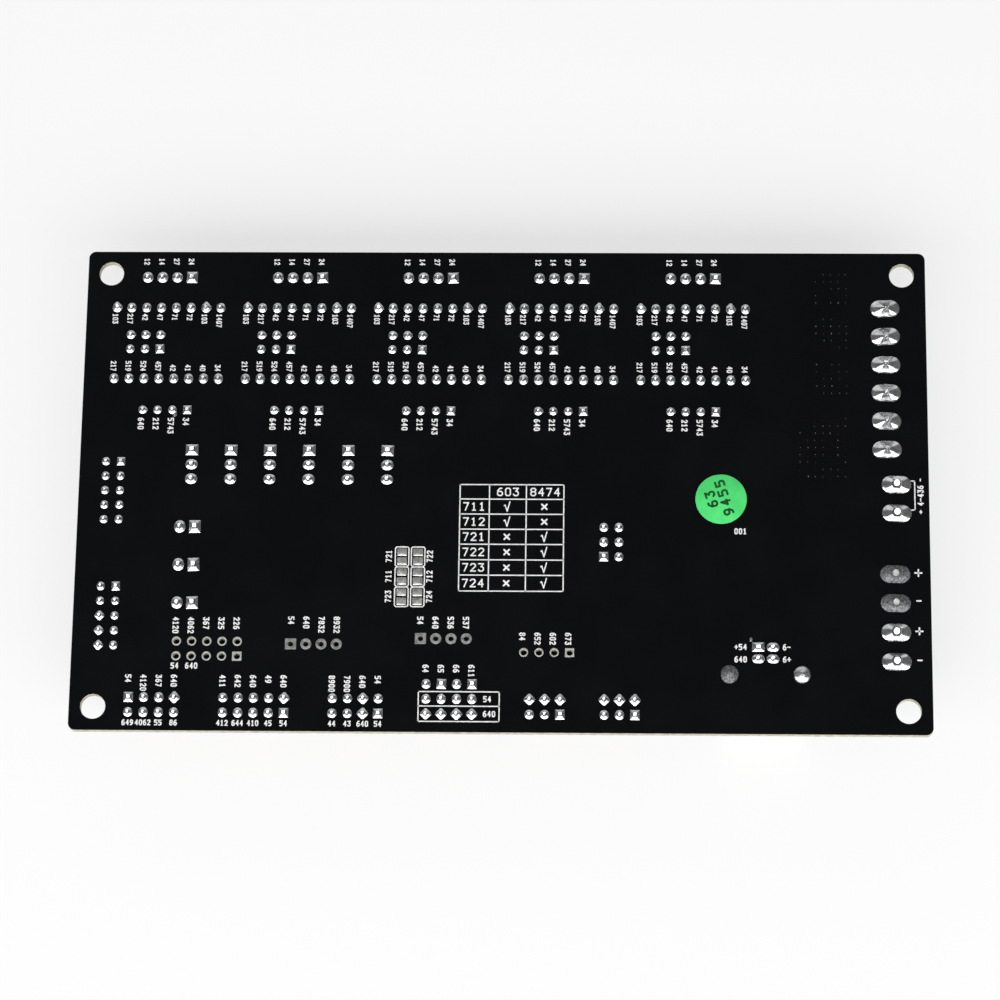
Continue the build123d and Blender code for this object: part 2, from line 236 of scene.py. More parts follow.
def linearColour(code):
    channels = [int(code[i:i + 2], 16) / 255 for i in (1, 3, 5)]
    linear = [c / 12.92 if c <= 0.04045 else ((c + 0.055) / 1.055) ** 2.4 for c in channels]
    return (*linear, 1)


def addNode(material, kind, settings=None, links=None):
    node = material.node_tree.nodes.new("ShaderNode" + kind)
    for name, value in (settings or {}).items():
        if isinstance(name, int) or name in node.inputs:
            node.inputs[name].default_value = value
        else:
            setattr(node, name, value)
    for name, source in (links or {}).items():
        material.node_tree.links.new(source, node.inputs[name])
    return node


def addRamp(material, source, stops, tones):
    # A colour ramp between two tones
    ramp = addNode(material, "ValToRGB", {}, {"Fac": source.outputs["Fac"]})
    for stop, where, tone in zip(ramp.color_ramp.elements, stops, tones):
        stop.position = where
        stop.color = linearColour(tone)
    return ramp


def makeFinish(
    name, tones, roughness, patchMm, grainMm, relief,
    metallic=0, specular=0.5, coat=0, squeeze=(1, 1, 1),
):
    # Two tones in soft patches, a roughness that wanders, and a fine grain raised as bump;
    # relief is the grain's height in mm and the bump's strength, squeeze draws the grain out
    material = bpy.data.materials.new(name)
    material.use_nodes = True
    shader = material.node_tree.nodes["Principled BSDF"]
    shader.inputs["Metallic"].default_value = metallic
    shader.inputs["Specular IOR Level"].default_value = specular
    shader.inputs["Coat Weight"].default_value = coat
    texture = addNode(material, "TexCoord").outputs["Object"]
    place = addNode(material, "Mapping", {"Scale": squeeze}, {"Vector": texture}).outputs["Vector"]
    patches = addNode(
        material, "TexNoise", {"Scale": 1 / (patchMm * mm), "Detail": 3}, {"Vector": place}
    )
    grain = addNode(
        material, "TexNoise", {"Scale": 1 / (grainMm * mm), "Detail": 4}, {"Vector": place}
    )
    ramp = addRamp(material, patches, (0.36, 0.64), tones)
    low, high = roughness
    rough = addNode(
        material, "MapRange", {"From Min": 0.35, "From Max": 0.65, "To Min": low, "To Max": high},
        {"Value": grain.outputs["Fac"]},
    )
    bump = addNode(
        material, "Bump", {"Strength": relief[1], "Distance": relief[0] * mm},
        {"Height": grain.outputs["Fac"]},
    )
    link = material.node_tree.links.new
    link(ramp.outputs["Color"], shader.inputs["Base Color"])
    link(rough.outputs["Result"], shader.inputs["Roughness"])
    link(bump.outputs["Normal"], shader.inputs["Normal"])
    return material


# Epoxy solder mask over glass laminate: near black with a faint sheen, and pale layered glass
# where the board was routed or drilled
boardLook = {
    "mask": ("#08090b", "#0b0c0e"), "roughness": (0.34, 0.46), "patchMm": 9, "grainMm": 0.35,
    "relief": (0.004, 0.4), "specular": 0.1, "laminate": ("#c9c3b2", "#8d877a"),
    "layerMm": 0.18, "layerSquash": 6,
}


def maskedBoard():
    look = boardLook
    material = makeFinish(
        "solderMaskOverGlassLaminate", look["mask"], look["roughness"], look["patchMm"],
        look["grainMm"], look["relief"], specular=look["specular"],
    )
    colour = material.node_tree.nodes["Principled BSDF"].inputs["Base Color"]
    mask = colour.links[0].from_socket
    place = addNode(material, "TexCoord").outputs["Object"]
    squash = addNode(material, "Mapping", {"Scale": (1, 1, look["layerSquash"])}, {"Vector": place})
    scale = 1 / (look["layerMm"] * look["layerSquash"] * mm)
    fibres = addNode(
        material, "TexNoise", {"Scale": scale, "Detail": 2}, {"Vector": squash.outputs["Vector"]}
    )
    layers = addRamp(material, fibres, (0.4, 0.6), look["laminate"])
    facing = addNode(material, "NewGeometry").outputs["Normal"]
    height = addNode(material, "SeparateXYZ", {}, {"Vector": facing})
    level = addNode(material, "Math", {"operation": "ABSOLUTE"}, {0: height.outputs["Z"]})
    flat = addNode(material, "Math", {"operation": "GREATER_THAN", 1: 0.6}, {0: level.outputs[0]})
    either = addNode(
        material, "Mix", {"data_type": "RGBA"},
        {"Factor": flat.outputs[0], 6: layers.outputs["Color"], 7: mask},
    )
    material.node_tree.links.new(either.outputs[2], colour)
    return material


# Each finish has its name, two tones, roughness from and to, size of patches and of grain in mm,
# and relief


# Tin solder frozen from the melt: bright, softly mirrored, a little cloudy
brightSolder = makeFinish(
    "tinSolderFrozenBright", ("#c9cbcd", "#eeeff0"), (0.14, 0.26), 0.9, 0.5, (0.02, 0.25),
    metallic=1,
)
# The same solder on small joints, where the melt set in ripples: satin, mottled
softSolder = makeFinish(
    "tinSolderSatin", ("#c3c5c7", "#e9eaeb"), (0.2, 0.36), 0.5, 0.25, (0.03, 0.7), metallic=1
)
# The same solder cooled slowly on a heavy part: grey, grained, with few highlights
dullSolder = makeFinish(
    "tinSolderGrainyDull", ("#5f6164", "#a6a8aa"), (0.55, 0.8), 0.35, 0.18, (0.06, 0.9),
    metallic=1,
)
# Hot-air levelled tin on bare copper pads: soft grey metal, slightly wavy
levelledTin = makeFinish(
    "tinHotAirLevelled", ("#b9bab8", "#e6e6e2"), (0.4, 0.58), 0.8, 0.22, (0.03, 0.6), metallic=1
)
# The same tin where it set smoother and brighter
brightTin = makeFinish(
    "tinHotAirLevelledBright", ("#dcdddb", "#f6f6f3"), (0.5, 0.66), 0.6, 0.2, (0.02, 0.5),
    metallic=1,
)
# Screen-printed epoxy ink: flat white, thin enough to look a little uneven
printInk = makeFinish(
    "epoxyInkScreenPrinted", ("#dfe0df", "#fafafa"), (0.5, 0.65), 0.7, 0.12, (0.01, 0.3),
    specular=0.3,
)
# Coated paper label: smooth vivid green with a faint gloss
labelGreen = makeFinish(
    "coatedPaperLabelGreen", ("#4edb74", "#58e57e"), (0.42, 0.5), 2.5, 0.3, (0.004, 0.3),
    specular=0.3,
)
# Printing ink on the label: dark green, matt
labelInk = makeFinish(
    "printingInkDarkGreen", ("#0d4a1c", "#145a26"), (0.5, 0.6), 1, 0.2, (0.003, 0.2), specular=0.3
)
boardMaterial = maskedBoard()
print("materials for the soldered face made")


def dress(name, material, edge, segments=2, angle=35, body="board"):
    # A copy of the node's mesh, merged and with its flat faces whole, gets fine broken edges
    piece = bpy.data.objects.new(name + ".finished", nodes[name].data.copy())
    bpy.context.scene.collection.objects.link(piece)
    mergePoints(piece)
    editFaces(piece)
    bpy.ops.mesh.dissolve_limited(angle_limit=math.radians(0.5))
    leaveEdit()
    if edge:
        breakEdges(piece, edge, segments, angle)
    smooth(piece)
    applyModifier(piece, "WEIGHTED_NORMAL", keep_sharp=True)
    return finish(piece, material, [name], body)


# The board, with its routed and drilled edges just broken
boardPanel = {"edgeBreak": 0.06}
dress("board", boardMaterial, boardPanel["edgeBreak"], 1)
print("board dressed")


# Solder joints
jointShapes = {
    "sink": 0.03,  # how far a joint's foot reaches into the board
    "sides": 16,
    # width share, depth share and height step of each ring, from the pad up to the pin's tip
    "cone": [(1.0, 1.0, 0.03), (0.94, 0.94, 0.05), (0.76, 0.76, 0.1), (0.58, 0.58, 0.12),
             (0.45, 0.45, 0.11), (0.39, 0.39, 0.14), (0.36, 0.36, 0.32), (0.33, 0.33, 0.03)],
    "flat": [(1.0, 1.0, 0.03), (0.95, 0.95, 0.04), (0.78, 0.78, 0.09), (0.6, 0.6, 0.12),
             (0.45, 0.45, 0.11), (0.38, 0.38, 0.14), (0.35, 0.35, 0.32), (0.32, 0.32, 0.03)],
    "trough": [(1.0, 1.0, 0.04), (0.97, 0.955, 0.08), (0.8, 0.8, 0.24), (0.6, 0.6, 0.3),
               (0.4, 0.41, 0.34), (0.2, 0.24, 0.34), (0.13, 0.16, 0.2), (0.07, 0.09, 0.06)],
    "stud": [(1.0, 1.0, 0.04), (0.97, 0.955, 0.08), (0.82, 0.82, 0.2), (0.62, 0.64, 0.27),
             (0.42, 0.48, 0.24), (0.31, 0.42, 0.15), (0.27, 0.39, 0.24), (0.1, 0.12, 0.02)],
    "blob": [(1.0, 1.0, 0.03), (0.97, 0.97, 0.08), (0.84, 0.84, 0.15), (0.62, 0.62, 0.15),
             (0.4, 0.4, 0.07), (0.26, 0.26, 0.1), (0.12, 0.12, 0.06)],
    # how far each ring moves towards the lower edge, as pins are cut and bent that way
    "slide": {"trough": 0.05, "stud": 0.02},
    "cut": -26,  # angle of the snipped pin ends
    "point": 0.2,  # how far a corner stands out of a pointed pad, as a share of its radius
    # width and depth shares of the long joints
    "stretched": {
        "wide": (1, 0.92), "wideSquare": (1.22, 0.92), "trough": (1, 0.965), "stud": (1, 0.965),
    },
    # width and depth shares of pads, by the start of the connector's name
    "shares": {
        "step": (0.87, 0.87), "microstep_header": (0.89, 0.89), "box": (0.84, 0.84),
        "aux": (0.95, 0.95), "servo": (0.95, 0.95), "signal": (0.94, 0.94),
        "program": (0.92, 0.92), "motor": (0.95, 0.95), "endstop": (1.08, 0.9),
        "thermistor": (1, 1.06), "driver": (0.95, 1.02),
    },
    # joints on pads with corners: connector, upper row or not, place from the left
    "grounded": [("aux_header_1", True, 3), ("aux_header_2", True, 4), ("aux_header_3", True, 2),
                 ("aux_header_3", False, 2), ("box_header_2", False, 1)],
    # stray drops: place and size, and their shares of depth and height
    "splashes": [(-55.7, 12.83, 0.36), (41.6, -25.95, 0.28)], "splashShares": (1.3, 0.35),
    "large": 4, "leg": 2.5,  # widths from which a joint is a terminal's or a leg's
    "pad": 1, "largePad": 1.6,  # radii
    # each kind's rings, the angles of its pad's corners, square or not, and how far it is stretched
    "kinds": {
        "round": ("cone", (), False, 0), "square": ("flat", (), True, 0),
        "tear": ("cone", (0,), False, 0), "crested": ("cone", (0, 90), False, 0),
        "diamond": ("cone", (0, 90, 180, 270), False, 0), "wide": ("cone", (), False, 0.5),
        "wideSquare": ("flat", (), True, 0), "leg": ("blob", (), False, 0),
        "trough": ("trough", (), False, 1.85), "stud": ("stud", (), False, 1.85),
    },
    # the cut end of a thick pin: radius, foot, level where the cut starts and its middle
    "pin": (0.5, 1.0, 1.15, 1.45),
    "coldCut": -14,  # angle of the cut on dull joints, which haven't the others' bright solder
}


def solidsOf(name):
    # Corner points of each separate solid in a node, in millimetres
    mesh = nodes[name].data
    spots = {}
    home = [
        spots.setdefault(tuple(round(c / mm, 2) for c in point.co), len(spots))
        for point in mesh.vertices
    ]
    parent = list(range(len(spots)))

    def root(i):
        while parent[i] != i:
            parent[i] = parent[parent[i]]
            i = parent[i]
        return i

    for face in mesh.polygons:
        first, *others = (root(home[i]) for i in face.vertices)
        for corner in others:
            parent[root(corner)] = root(first)
    solids = {}
    for spot, i in spots.items():
        solids.setdefault(root(i), []).append(Vector(spot))
    return list(solids.values())


def boxOf(points):
    return [Vector(pick(axis) for axis in zip(*points)) for pick in (min, max)]


def jointPlaces():
    joints = []
    for points in solidsOf("solder_joints"):
        foot = [point for point in points if point.z < solderFace + 0.01]
        low, high = boxOf(foot)
        middle, size = (low + high) / 2, high - low
        joints.append({
            "x": middle.x, "y": middle.y, "width": size.x, "depth": size.y, "corners": len(foot),
        })
    return joints


def over(name):
    low, high = nodeBoxes[name]
    return lambda joint: low.x < joint["x"] < high.x and low.y < joint["y"] < high.y


def moundMaster(kind):
    rings, corners, square, stretch = jointShapes["kinds"][kind]
    radius = jointShapes["largePad" if stretch > 1 else "pad"]
    sides, sink = jointShapes["sides"], jointShapes["sink"]
    if square:
        piece = addBlock("joint", (-radius, -radius, -sink), (radius, radius, 0))
        bevelUpright(piece, radius * 0.12, 2)
    else:
        piece = addRound("joint", radius, -sink, 0, sides)
    for angle in corners:
        away = Vector((math.cos(math.radians(angle)), math.sin(math.radians(angle)), 0))
        reach = radius * math.cos(math.radians(190 / sides))
        editPoints(piece, lambda point: point.dot(away) > reach)
        bpy.ops.transform.translate(value=away * radius * jointShapes["point"] * mm)
        leaveEdit()
    for side in (-1, 1) if stretch else ():
        editPoints(piece, lambda point: side * point.x > 0.01)
        bpy.ops.transform.translate(value=(side * stretch / 2 * mm, 0, 0))
        leaveEdit()
    raiseRings(piece, jointShapes[rings], jointShapes["slide"].get(kind, 0), jointShapes["cut"])
    mergePoints(piece)
    smooth(piece, 55)
    return piece


def jointKind(joint):
    if joint["width"] > jointShapes["large"]:
        return "trough" if over("output_terminal")(joint) else "stud"
    if joint["width"] > jointShapes["leg"]:
        return "leg"
    if over("usb_core")(joint):
        return "wideSquare" if joint["corners"] == 4 else "wide"
    if joint["corners"] == 4:
        return "square"
    notConnectors = ("_caps", "_screws", "_clamps", "_joints", "_pins")
    for name in nodes:
        if name.endswith(notConnectors) or not over(name)(joint):
            continue
        low, high = nodeBoxes[name]
        if name.startswith("microstep_header") and joint["y"] > high.y - pitch:
            return "tear"
        if name.startswith("step_header") and joint["x"] < low.x + pitch:
            return "tear"
        if name == "servo_header" and joint["y"] < low.y + pitch:
            return "diamond"
        if name.startswith("signal_header") and joint["y"] > high.y - pitch:
            return "diamond"
        upper, column = joint["y"] > (low.y + high.y) / 2, int((joint["x"] - low.x) / pitch)
        if (name, upper, column) in jointShapes["grounded"]:
            return "diamond"
        if name.startswith("driver_sockets") and upper and column in (0, 6):
            return "crested"
    return "round"


def solderShare(joint):
    radius = joint["width"] / 2
    for start, (width, depth) in jointShapes["shares"].items():
        housings = (name for name in nodes if name.startswith(start) and not name.endswith("_caps"))
        if any(over(name)(joint) for name in housings):
            return width * radius, depth * radius, (width + depth) / 2 * radius
    return radius, radius, radius


def pinEnd(cut):
    # The cut end of a thick pin, standing out of its solder
    radius, foot, shoulder, middle = jointShapes["pin"]
    piece = addRound("pinEnd", radius, foot, shoulder, 18)
    editFaces(piece, lambda face: face.normal.z > 0.9)
    extrude(0, 0, middle - shoulder)
    bpy.ops.transform.rotate(
        value=math.radians(cut), orient_axis="X", center_override=(0, 0, middle * mm)
    )
    leaveEdit()
    smooth(piece)
    return piece


def solderField():
    kinds = {}
    for joint in jointPlaces():
        kinds.setdefault(jointKind(joint), []).append(joint)
    powerMiddle = sum(corner.y for corner in nodeBoxes["power_terminal"]) / 2
    usbMiddle = sum(corner.x for corner in nodeBoxes["usb_core"]) / 2
    pieces = []
    for kind, members in kinds.items():
        master = moundMaster(kind)
        for joint in members:
            large = joint["width"] > jointShapes["large"]
            wide, deep, tall = (1, 1, 1) if large else solderShare(joint)
            width, depth = jointShapes["stretched"].get(kind, (1, chance.uniform(1.0, 1.09)))
            place = at(
                joint["x"], joint["y"], solderFace, turn=chance.uniform(-3, 3),
                lean=chance.uniform(-2, 2), sway=chance.uniform(-2, 2),
                width=wide * width, depth=deep * depth, height=tall * chance.uniform(0.9, 1.0),
            )
            copy = copyTo(master, [place])[0]
            # the joints that cooled slowly: two of the power terminal and one leg of the socket
            cold = over("power_terminal")(joint) and joint["y"] > powerMiddle
            cold = cold or kind == "leg" and joint["x"] < usbMiddle
            warm = brightSolder if large else softSolder
            copy.data.materials.append(dullSolder if cold else warm)
            pieces.append(copy)
            if kind == "stud":
                end = pinEnd(jointShapes["coldCut" if cold else "cut"])
                end.data.transform(at(joint["x"], joint["y"] - 0.1, solderFace, depth=1.1))
                end.data.materials.append(levelledTin if cold else brightSolder)
                pieces.append(end)
        if kind == "round":
            for x, y, size in jointShapes["splashes"]:
                depth, height = (size * share for share in jointShapes["splashShares"])
                place = at(x, y, solderFace, width=size, depth=depth, height=height)
                drop = copyTo(master, [place])[0]
                drop.data.materials.append(brightSolder)
                pieces.append(drop)
        bpy.data.objects.remove(master)
    finish(joinAs("solderField", pieces), None, ["solder_joints"])


solderField()
print("solder joints made")


# Bare pads: plated eyelets round the empty holes, and the small jumper pads
barePads = {
    "bores": (0.46, 0.53), "smallRing": 0.9,  # the larger bore is that of the smaller rings
    "neck": 0.62, "rise": 0.035, "sink": 0.03, "sides": 20,
    "shadePlug": (0.58, 0.06, 0.1),  # radius of the dark plug of mask that paints the shade in the empty holes, and how far it stands out and in
    # first pad's centre, columns, rows, ring radius and the pads that are square
    "rows": [((-53.97, -26.77), 5, 2, 0.78, (9,)), ((-34.91, -27.15), 4, 1, 0.93, (0,)),
             ((-13.29, -26.10), 4, 1, 0.93, (0,)), ((3.90, -28.38), 4, 1, 0.76, (3,))],
    "jumperX": (-16.63, -13.95), "jumperY": (-12.02, -15.5, -18.98),
    "jumperPad": (1.66, 1.28), "jumperGap": 0.26,
    "cushion": [(1, 1, 0.02), (0.96, 0.95, 0.03), (0.84, 0.8, 0.05), (0.6, 0.5, 0.03),
                (0.3, 0.2, 0.01)],
    # how far each pad leans towards the lower edge, upper and lower of each pair
    "jumperLean": (((4, 2), (7, 6), (8, 2)), ((1, 2), (3, 3), (4, 4))),
}


def platedEyelet(radius, square):
    # Turned outline: lower ring, neck through the board, upper ring; then drilled
    rise, sink, neck = (barePads[key] for key in ("rise", "sink", "neck"))
    foot, top, sides = partsFace - rise, partsFace + sink, barePads["sides"]
    if square:
        piece = addBlock("eyeletSquare", (-radius, -radius, foot), (radius, radius, top))
    else:
        piece = addRound("eyeletRound", radius, foot, top, sides)
    share = neck / radius
    raiseRings(piece, [
        (share, share, 0), (share, share, solderFace - partsFace - 2 * sink), (1, 1, 0),
        (1, 1, rise + sink),
    ])
    bore = barePads["bores"][radius < barePads["smallRing"]]
    cutAway(piece, addRound("drill", bore, foot - 1, solderFace + 1, sides))
    breakEdges(piece, rise * 0.5, 1, 60)
    smooth(piece)
    return piece


def emptyHoles():
    rings, places = [], []
    for (firstX, firstY), columns, rows, radius, squared in barePads["rows"]:
        masters = [platedEyelet(radius, square) for square in (False, True)]
        for i in range(columns * rows):
            x, y = firstX + i % columns * pitch, firstY - i // columns * pitch
            places.append(at(x, y))
            ring = copyTo(masters[i in squared], places[-1:])[0]
            small = radius < barePads["smallRing"]
            ring.data.materials.append(brightTin if small else levelledTin)
            rings.append(ring)
        for master in masters:
            bpy.data.objects.remove(master)
    finish(joinAs("platedHoleRings", rings), None)
    # A guess: a skin of mask on the parts' side. It is painted shade: a dark plug that stands in
    # for the shadow under the board, since these holes look black and open ones show the bright
    # floor here
    radius, depth, rise = barePads["shadePlug"]
    shadePlug = addRound("holeShadePlug", radius, partsFace - depth, partsFace + rise, barePads["sides"])
    breakEdges(shadePlug, 0.02, 1, 60)
    finish(spread("holeShadePlugs", shadePlug, places), boardMaterial)


def jumperPads():
    # Each pad is a low cushion of solder with its own tilt
    width, depth = barePads["jumperPad"]
    corner = (width / 2, depth / 2)
    pad = addBlock("jumperPad", (-corner[0], -corner[1], -barePads["sink"]), (*corner, 0))
    bevelUpright(pad, 0.1, 2)
    raiseRings(pad, barePads["cushion"])
    smooth(pad, 60)
    step = (depth + barePads["jumperGap"]) / 2
    places = []
    for x, leans in zip(barePads["jumperX"], barePads["jumperLean"]):
        for y, pair in zip(barePads["jumperY"], leans):
            for side, lean in zip((1, -1), pair):
                turn = chance.uniform(-1.5, 1.5)
                places.append(at(x, y + side * step, solderFace, turn=turn, lean=lean))
    finish(spread("jumperPads", pad, places), levelledTin)


emptyHoles()
jumperPads()
print("bare pads made")


# Screen print on the soldered face: plain numbers, lines, ticks, crosses and signs
ink = {
    # how far each stroke stands above the one before, so that no two faces lie in one plane
    "overlap": 0.0015,
    "thickness": 0.02, "stroke": 0.2,
    # height, width, pitch and line width of each size of digit
    "small": (0.98, 0.53, 0.62, 0.21), "normal": (1.06, 0.6, 0.73, 0.21),
    "low": (1.0, 0.58, 0.68, 0.21), "table": (1.5, 1.02, 1.33, 0.23),
    "label": (1.8, 1.18, 1.7, 0.37), "large": (2.1, 1.25, 1.6, 0.21),
    # numbers beside each driver's rows, from the left
    "motor": ("12", "14", "27", "24"),
    "upper": ("103", "217", "42", "47", "71", "72", "103", "1407"),
    "lower": ("217", "519", "524", "457", "42", "41", "40", "34"),
    "step": ("640", "212", "5743", "34"),
    # which numbers, beside which piece, from its lower or upper side, gap, size, start and shift
    "drivers": [
        ("motor", "motor_connector", 1, -0.55, "small", "middle", -0.25),
        ("upper", "driver_sockets", 1, -2.4, "small", "left", -0.22),
        ("lower", "driver_sockets", 0, 2.58, "small", "right", -0.2),
        ("step", "step_header", 0, -0.16, "normal", "left", -0.2),
    ],
    # over each row of empty holes: level, shift and numbers
    "spare": [(-22.65, -0.22, ("4120", "4062", "367", "325", "226")),
              (-22.45, 0, ("54", "640", "7832", "8932")),
              (-22.35, -0.1, ("54", "640", "536", "537")),
              (-25.0, -0.26, ("84", "652", "602", "673"))],
    # over the post headers, with the gap, and under them
    "above": {
        "aux_header_1": (2.58, ("54", "4120", "367", "640")),
        "aux_header_2": (2.58, ("411", "642", "640", "49", "640")),
        "aux_header_3": (2.58, ("8900", "7900", "640", "54")),
        "servo_header": (2.0, ("64", "65", "66", "611")),
    },
    "below": {
        "aux_header_1": ("649", "4062", "55", "86"), "aux_header_3": ("44", "43", "640", "54"),
        "aux_header_2": ("412", "644", "410", "45", "54"),
    },
    # single numbers: place, and size and turn where they aren't the usual ones
    "single": [
        ("001", 39.92, -7.34), ("+54", 39.85, -27.25), ("6-", 47.5, -27.25), ("640", 39.85, -29.35),
        ("6+", 47.5, -29.35), ("4-436", 70.05, -1.0, "normal", 90), ("54", -2.05, -36.38),
        ("640", -1.7, -38.9), ("+", 70.05, -3.85, "small"), ("-", 70.05, 1.75, "small", 90),
        ("54", -54.14, -30.98), ("640", -51.35, -30.98),
    ],
    # beside the jumper pads: place across and numbers
    "jumpers": [(-18.85, ("721", "711", "723")), (-12.0, ("722", "712", "724"))],
    # signs beside the power terminal: place across, places along, arms and width
    "signs": (69.45, (-14.4, -19.2, -24.4, -29.35), (0.55, 0.32), 0.26),
    # strokes of a tick and of a cross, and their widths
    "tick": (0.2, [((-0.5, 0.15), (-0.35, 0.3)), ((-0.35, 0.3), (0, -0.8)),
                   ((0, -0.8), (0.45, 0.85))]),
    "cross": (0.3, [((-0.41, -0.41), (0.41, 0.41)), ((-0.41, 0.41), (0.41, -0.41))]),
    # frame round each pair of jumper pads: width, depth, line, outer and inner corner
    "jumperFrame": (2.46, 3.56, 0.2, 0.45, 0.25),
    # bracket beside the bed terminal: place across, top, bottom and arms
    "bracket": (69.1, 1.56, -3.5, 0.55),
}
# Each digit's strokes, on a grid four wide and six high
digitLines = {
    "0": [[(1, 0), (3, 0), (4, 1), (4, 5), (3, 6), (1, 6), (0, 5), (0, 1), (1, 0)]],
    "1": [[(0.8, 5), (2, 6), (2, 0)], [(0.8, 0), (3.2, 0)]],
    "2": [[(0, 5), (1, 6), (3, 6), (4, 5), (4, 4), (0, 0), (4, 0)]],
    "3": [[(0, 6), (4, 6), (2, 3.6), (3, 3.6), (4, 2.6), (4, 1), (3, 0), (1, 0), (0, 1)]],
    "4": [[(3, 0), (3, 6), (0, 2), (4, 2)]],
    "5": [[(4, 6), (0, 6), (0, 3.4), (3, 3.4), (4, 2.4), (4, 1), (3, 0), (0, 0)]],
    "6": [[(3.4, 6), (2, 6), (0, 4), (0, 1), (1, 0), (3, 0), (4, 1), (4, 2.4), (3, 3.4), (0, 3.4)]],
    "7": [[(0, 6), (4, 6), (1.4, 0)]],
    "8": [[(1, 3.2), (0, 4.2), (0, 5), (1, 6), (3, 6), (4, 5), (4, 4.2), (3, 3.2), (1, 3.2),
           (0, 2.2), (0, 1), (1, 0), (3, 0), (4, 1), (4, 2.2), (3, 3.2)]],
    "9": [[(0.6, 0), (2, 0), (4, 2), (4, 5), (3, 6), (1, 6), (0, 5), (0, 3.6), (1, 2.6), (4, 2.6)]],
    "+": [[(0, 3), (4, 3)], [(2, 1), (2, 5)]],
    "-": [[(0, 3), (4, 3)]],
}


def inkStroke(start, end, width, level=solderFace, corner=0.3):
    start, end = Vector(start), Vector(end)
    along = end - start
    length = along.length + width
    thick = ink["thickness"] / 2
    piece = addBlock("stroke", (-length / 2, -width / 2, -thick), (length / 2, width / 2, thick))
    bevelUpright(piece, width * corner)
    middle = (start + end) / 2
    turn = math.degrees(math.atan2(along.y, along.x))
    piece.data.transform(at(middle.x, middle.y, level, turn=turn))
    return piece


def openFrame(low, high, line, level, thick, shape=lambda piece, inside: None):
    # A flat frame as wide as its line, between two corners; shape rounds its two outlines
    outer = addBlock("frame", (*low, level - thick), (*high, level + thick))
    inner = addBlock(
        "room", (low[0] + line, low[1] + line, level - thick - 1),
        (high[0] - line, high[1] - line, level + thick + 1),
    )
    shape(outer, False)
    shape(inner, True)
    cutAway(outer, inner)
    return outer


def digitMaster(digit, size):
    height, width, step, stroke = ink[size]
    strokes = []
    for line in digitLines[digit]:
        points = [
            ((x / 4 - 0.5) * (width - stroke), (y / 6 - 0.5) * (height - stroke)) for x, y in line
        ]
        for a, b in zip(points, points[1:]):
            strokes.append(inkStroke(a, b, stroke, len(strokes) * ink["overlap"]))
    return joinAs("digit", strokes)


def writeNumber(number, x, y, size="normal", turn=0, start="middle", level=solderFace, sway=0):
    # start says which end of the number stands at x, y along its own reading direction
    height, width, step, stroke = ink[size]
    span = (len(number) - 1) * step
    first = {"middle": -span / 2, "left": width / 2, "right": -span - width / 2}[start]
    drawnAs = size if size in ("table", "label") else "normal"
    narrow, low = width / ink[drawnAs][1], height / ink[drawnAs][0]
    place = at(x, y, level, turn=turn, sway=sway)
    digits = []
    for i, digit in enumerate(number):
        spot = place @ at(first + i * step, 0, width=narrow, depth=low)
        digits += copyTo(digitMasters[digit, drawnAs], [spot])
    return digits


digitMasters = {
    (digit, size): digitMaster(digit, size)
    for size, digits in (("normal", digitLines), ("table", "01234678"), ("label", "34569"))
    for digit in digits
}


def column(numbers, xs, y, size, start, shift=0):
    # Numbers that read downwards, one over or under each pad
    digits = []
    for number, x in zip(numbers, xs):
        digits += writeNumber(number, x + shift, y, size, -90, start)
    return digits


def rowOf(name, count, step=pitch):
    low, high = nodeBoxes[name]
    middle = (low.x + high.x) / 2
    return [middle + (i - (count - 1) / 2) * step for i in range(count)]


def driverPrint():
    texts = []
    for number in range(1, 6):
        for key, name, side, gap, size, start, shift in ink["drivers"]:
            name = f"{name}_{number}"
            y = nodeBoxes[name][side].y + gap
            texts += column(ink[key], rowOf(name, len(ink[key])), y, size, start, shift)
    return texts


def padPrint():
    texts = []
    for ((x, y), count, *rest), (level, shift, numbers) in zip(barePads["rows"], ink["spare"]):
        xs = [x + i * pitch for i in range(count)]
        texts += column(numbers, xs, level, "normal", "left", shift)
    for name, (gap, numbers) in ink["above"].items():
        top = nodeBoxes[name][1].y + gap
        texts += column(numbers, rowOf(name, len(numbers)), top, "normal", "left", -0.15)
    for name, numbers in ink["below"].items():
        y = nodeBoxes[name][0].y - 0.49
        for number, x in zip(numbers, rowOf(name, len(numbers))):
            texts += writeNumber(number, x, y, "low")
    return texts


servoFrame = {"x": (-13.45, -0.05), "y": (-35.15, -37.6, -40.2)}
table = {
    "x": (-7.1, -2.15, 4.05, 10.35), "y": (0.6, -1.93, -4.55, -7.18, -9.8, -12.5, -15.15, -17.9),
    "heads": ("603", "8474"), "rows": ("711", "712", "721", "722", "723", "724"),
    "ticks": ((0, 0), (0, 1), (1, 2), (1, 3), (1, 4), (1, 5)),
}


def linePrint():
    strokes = []
    for grid, kinds in ((servoFrame, ("across", "along")), (table, ("along", "across"))):
        xs, ys = grid["x"], grid["y"]
        for kind in kinds:
            if kind == "across":
                strokes += [((xs[0], y), (xs[-1], y)) for y in ys]
            else:
                strokes += [((x, ys[0]), (x, ys[-1])) for x in xs]
    x, top, bottom, arm = ink["bracket"]
    strokes.append(((x, top), (x, bottom)))
    strokes += [((x - arm, y), (x, y)) for y in (top, bottom)]
    return [inkStroke(start, end, ink["stroke"]) for start, end in strokes]


def tickAndCross(x, y, kind):
    width, strokes = ink[kind]
    pieces = []
    for i, (a, b) in enumerate(strokes):
        level = solderFace + i * ink["overlap"]
        pieces.append(inkStroke((x + a[0], y + a[1]), (x + b[0], y + b[1]), width, level))
    return pieces


def signPrint():
    pieces = []
    x, places, arms, width = ink["signs"]
    for i, y in enumerate(places):
        arm = arms[i % 2]
        pieces.append(inkStroke((x - arm, y), (x + arm, y), width))
        if i % 2 == 0:
            pieces.append(inkStroke((x, y - arm), (x, y + arm), width))
    return pieces


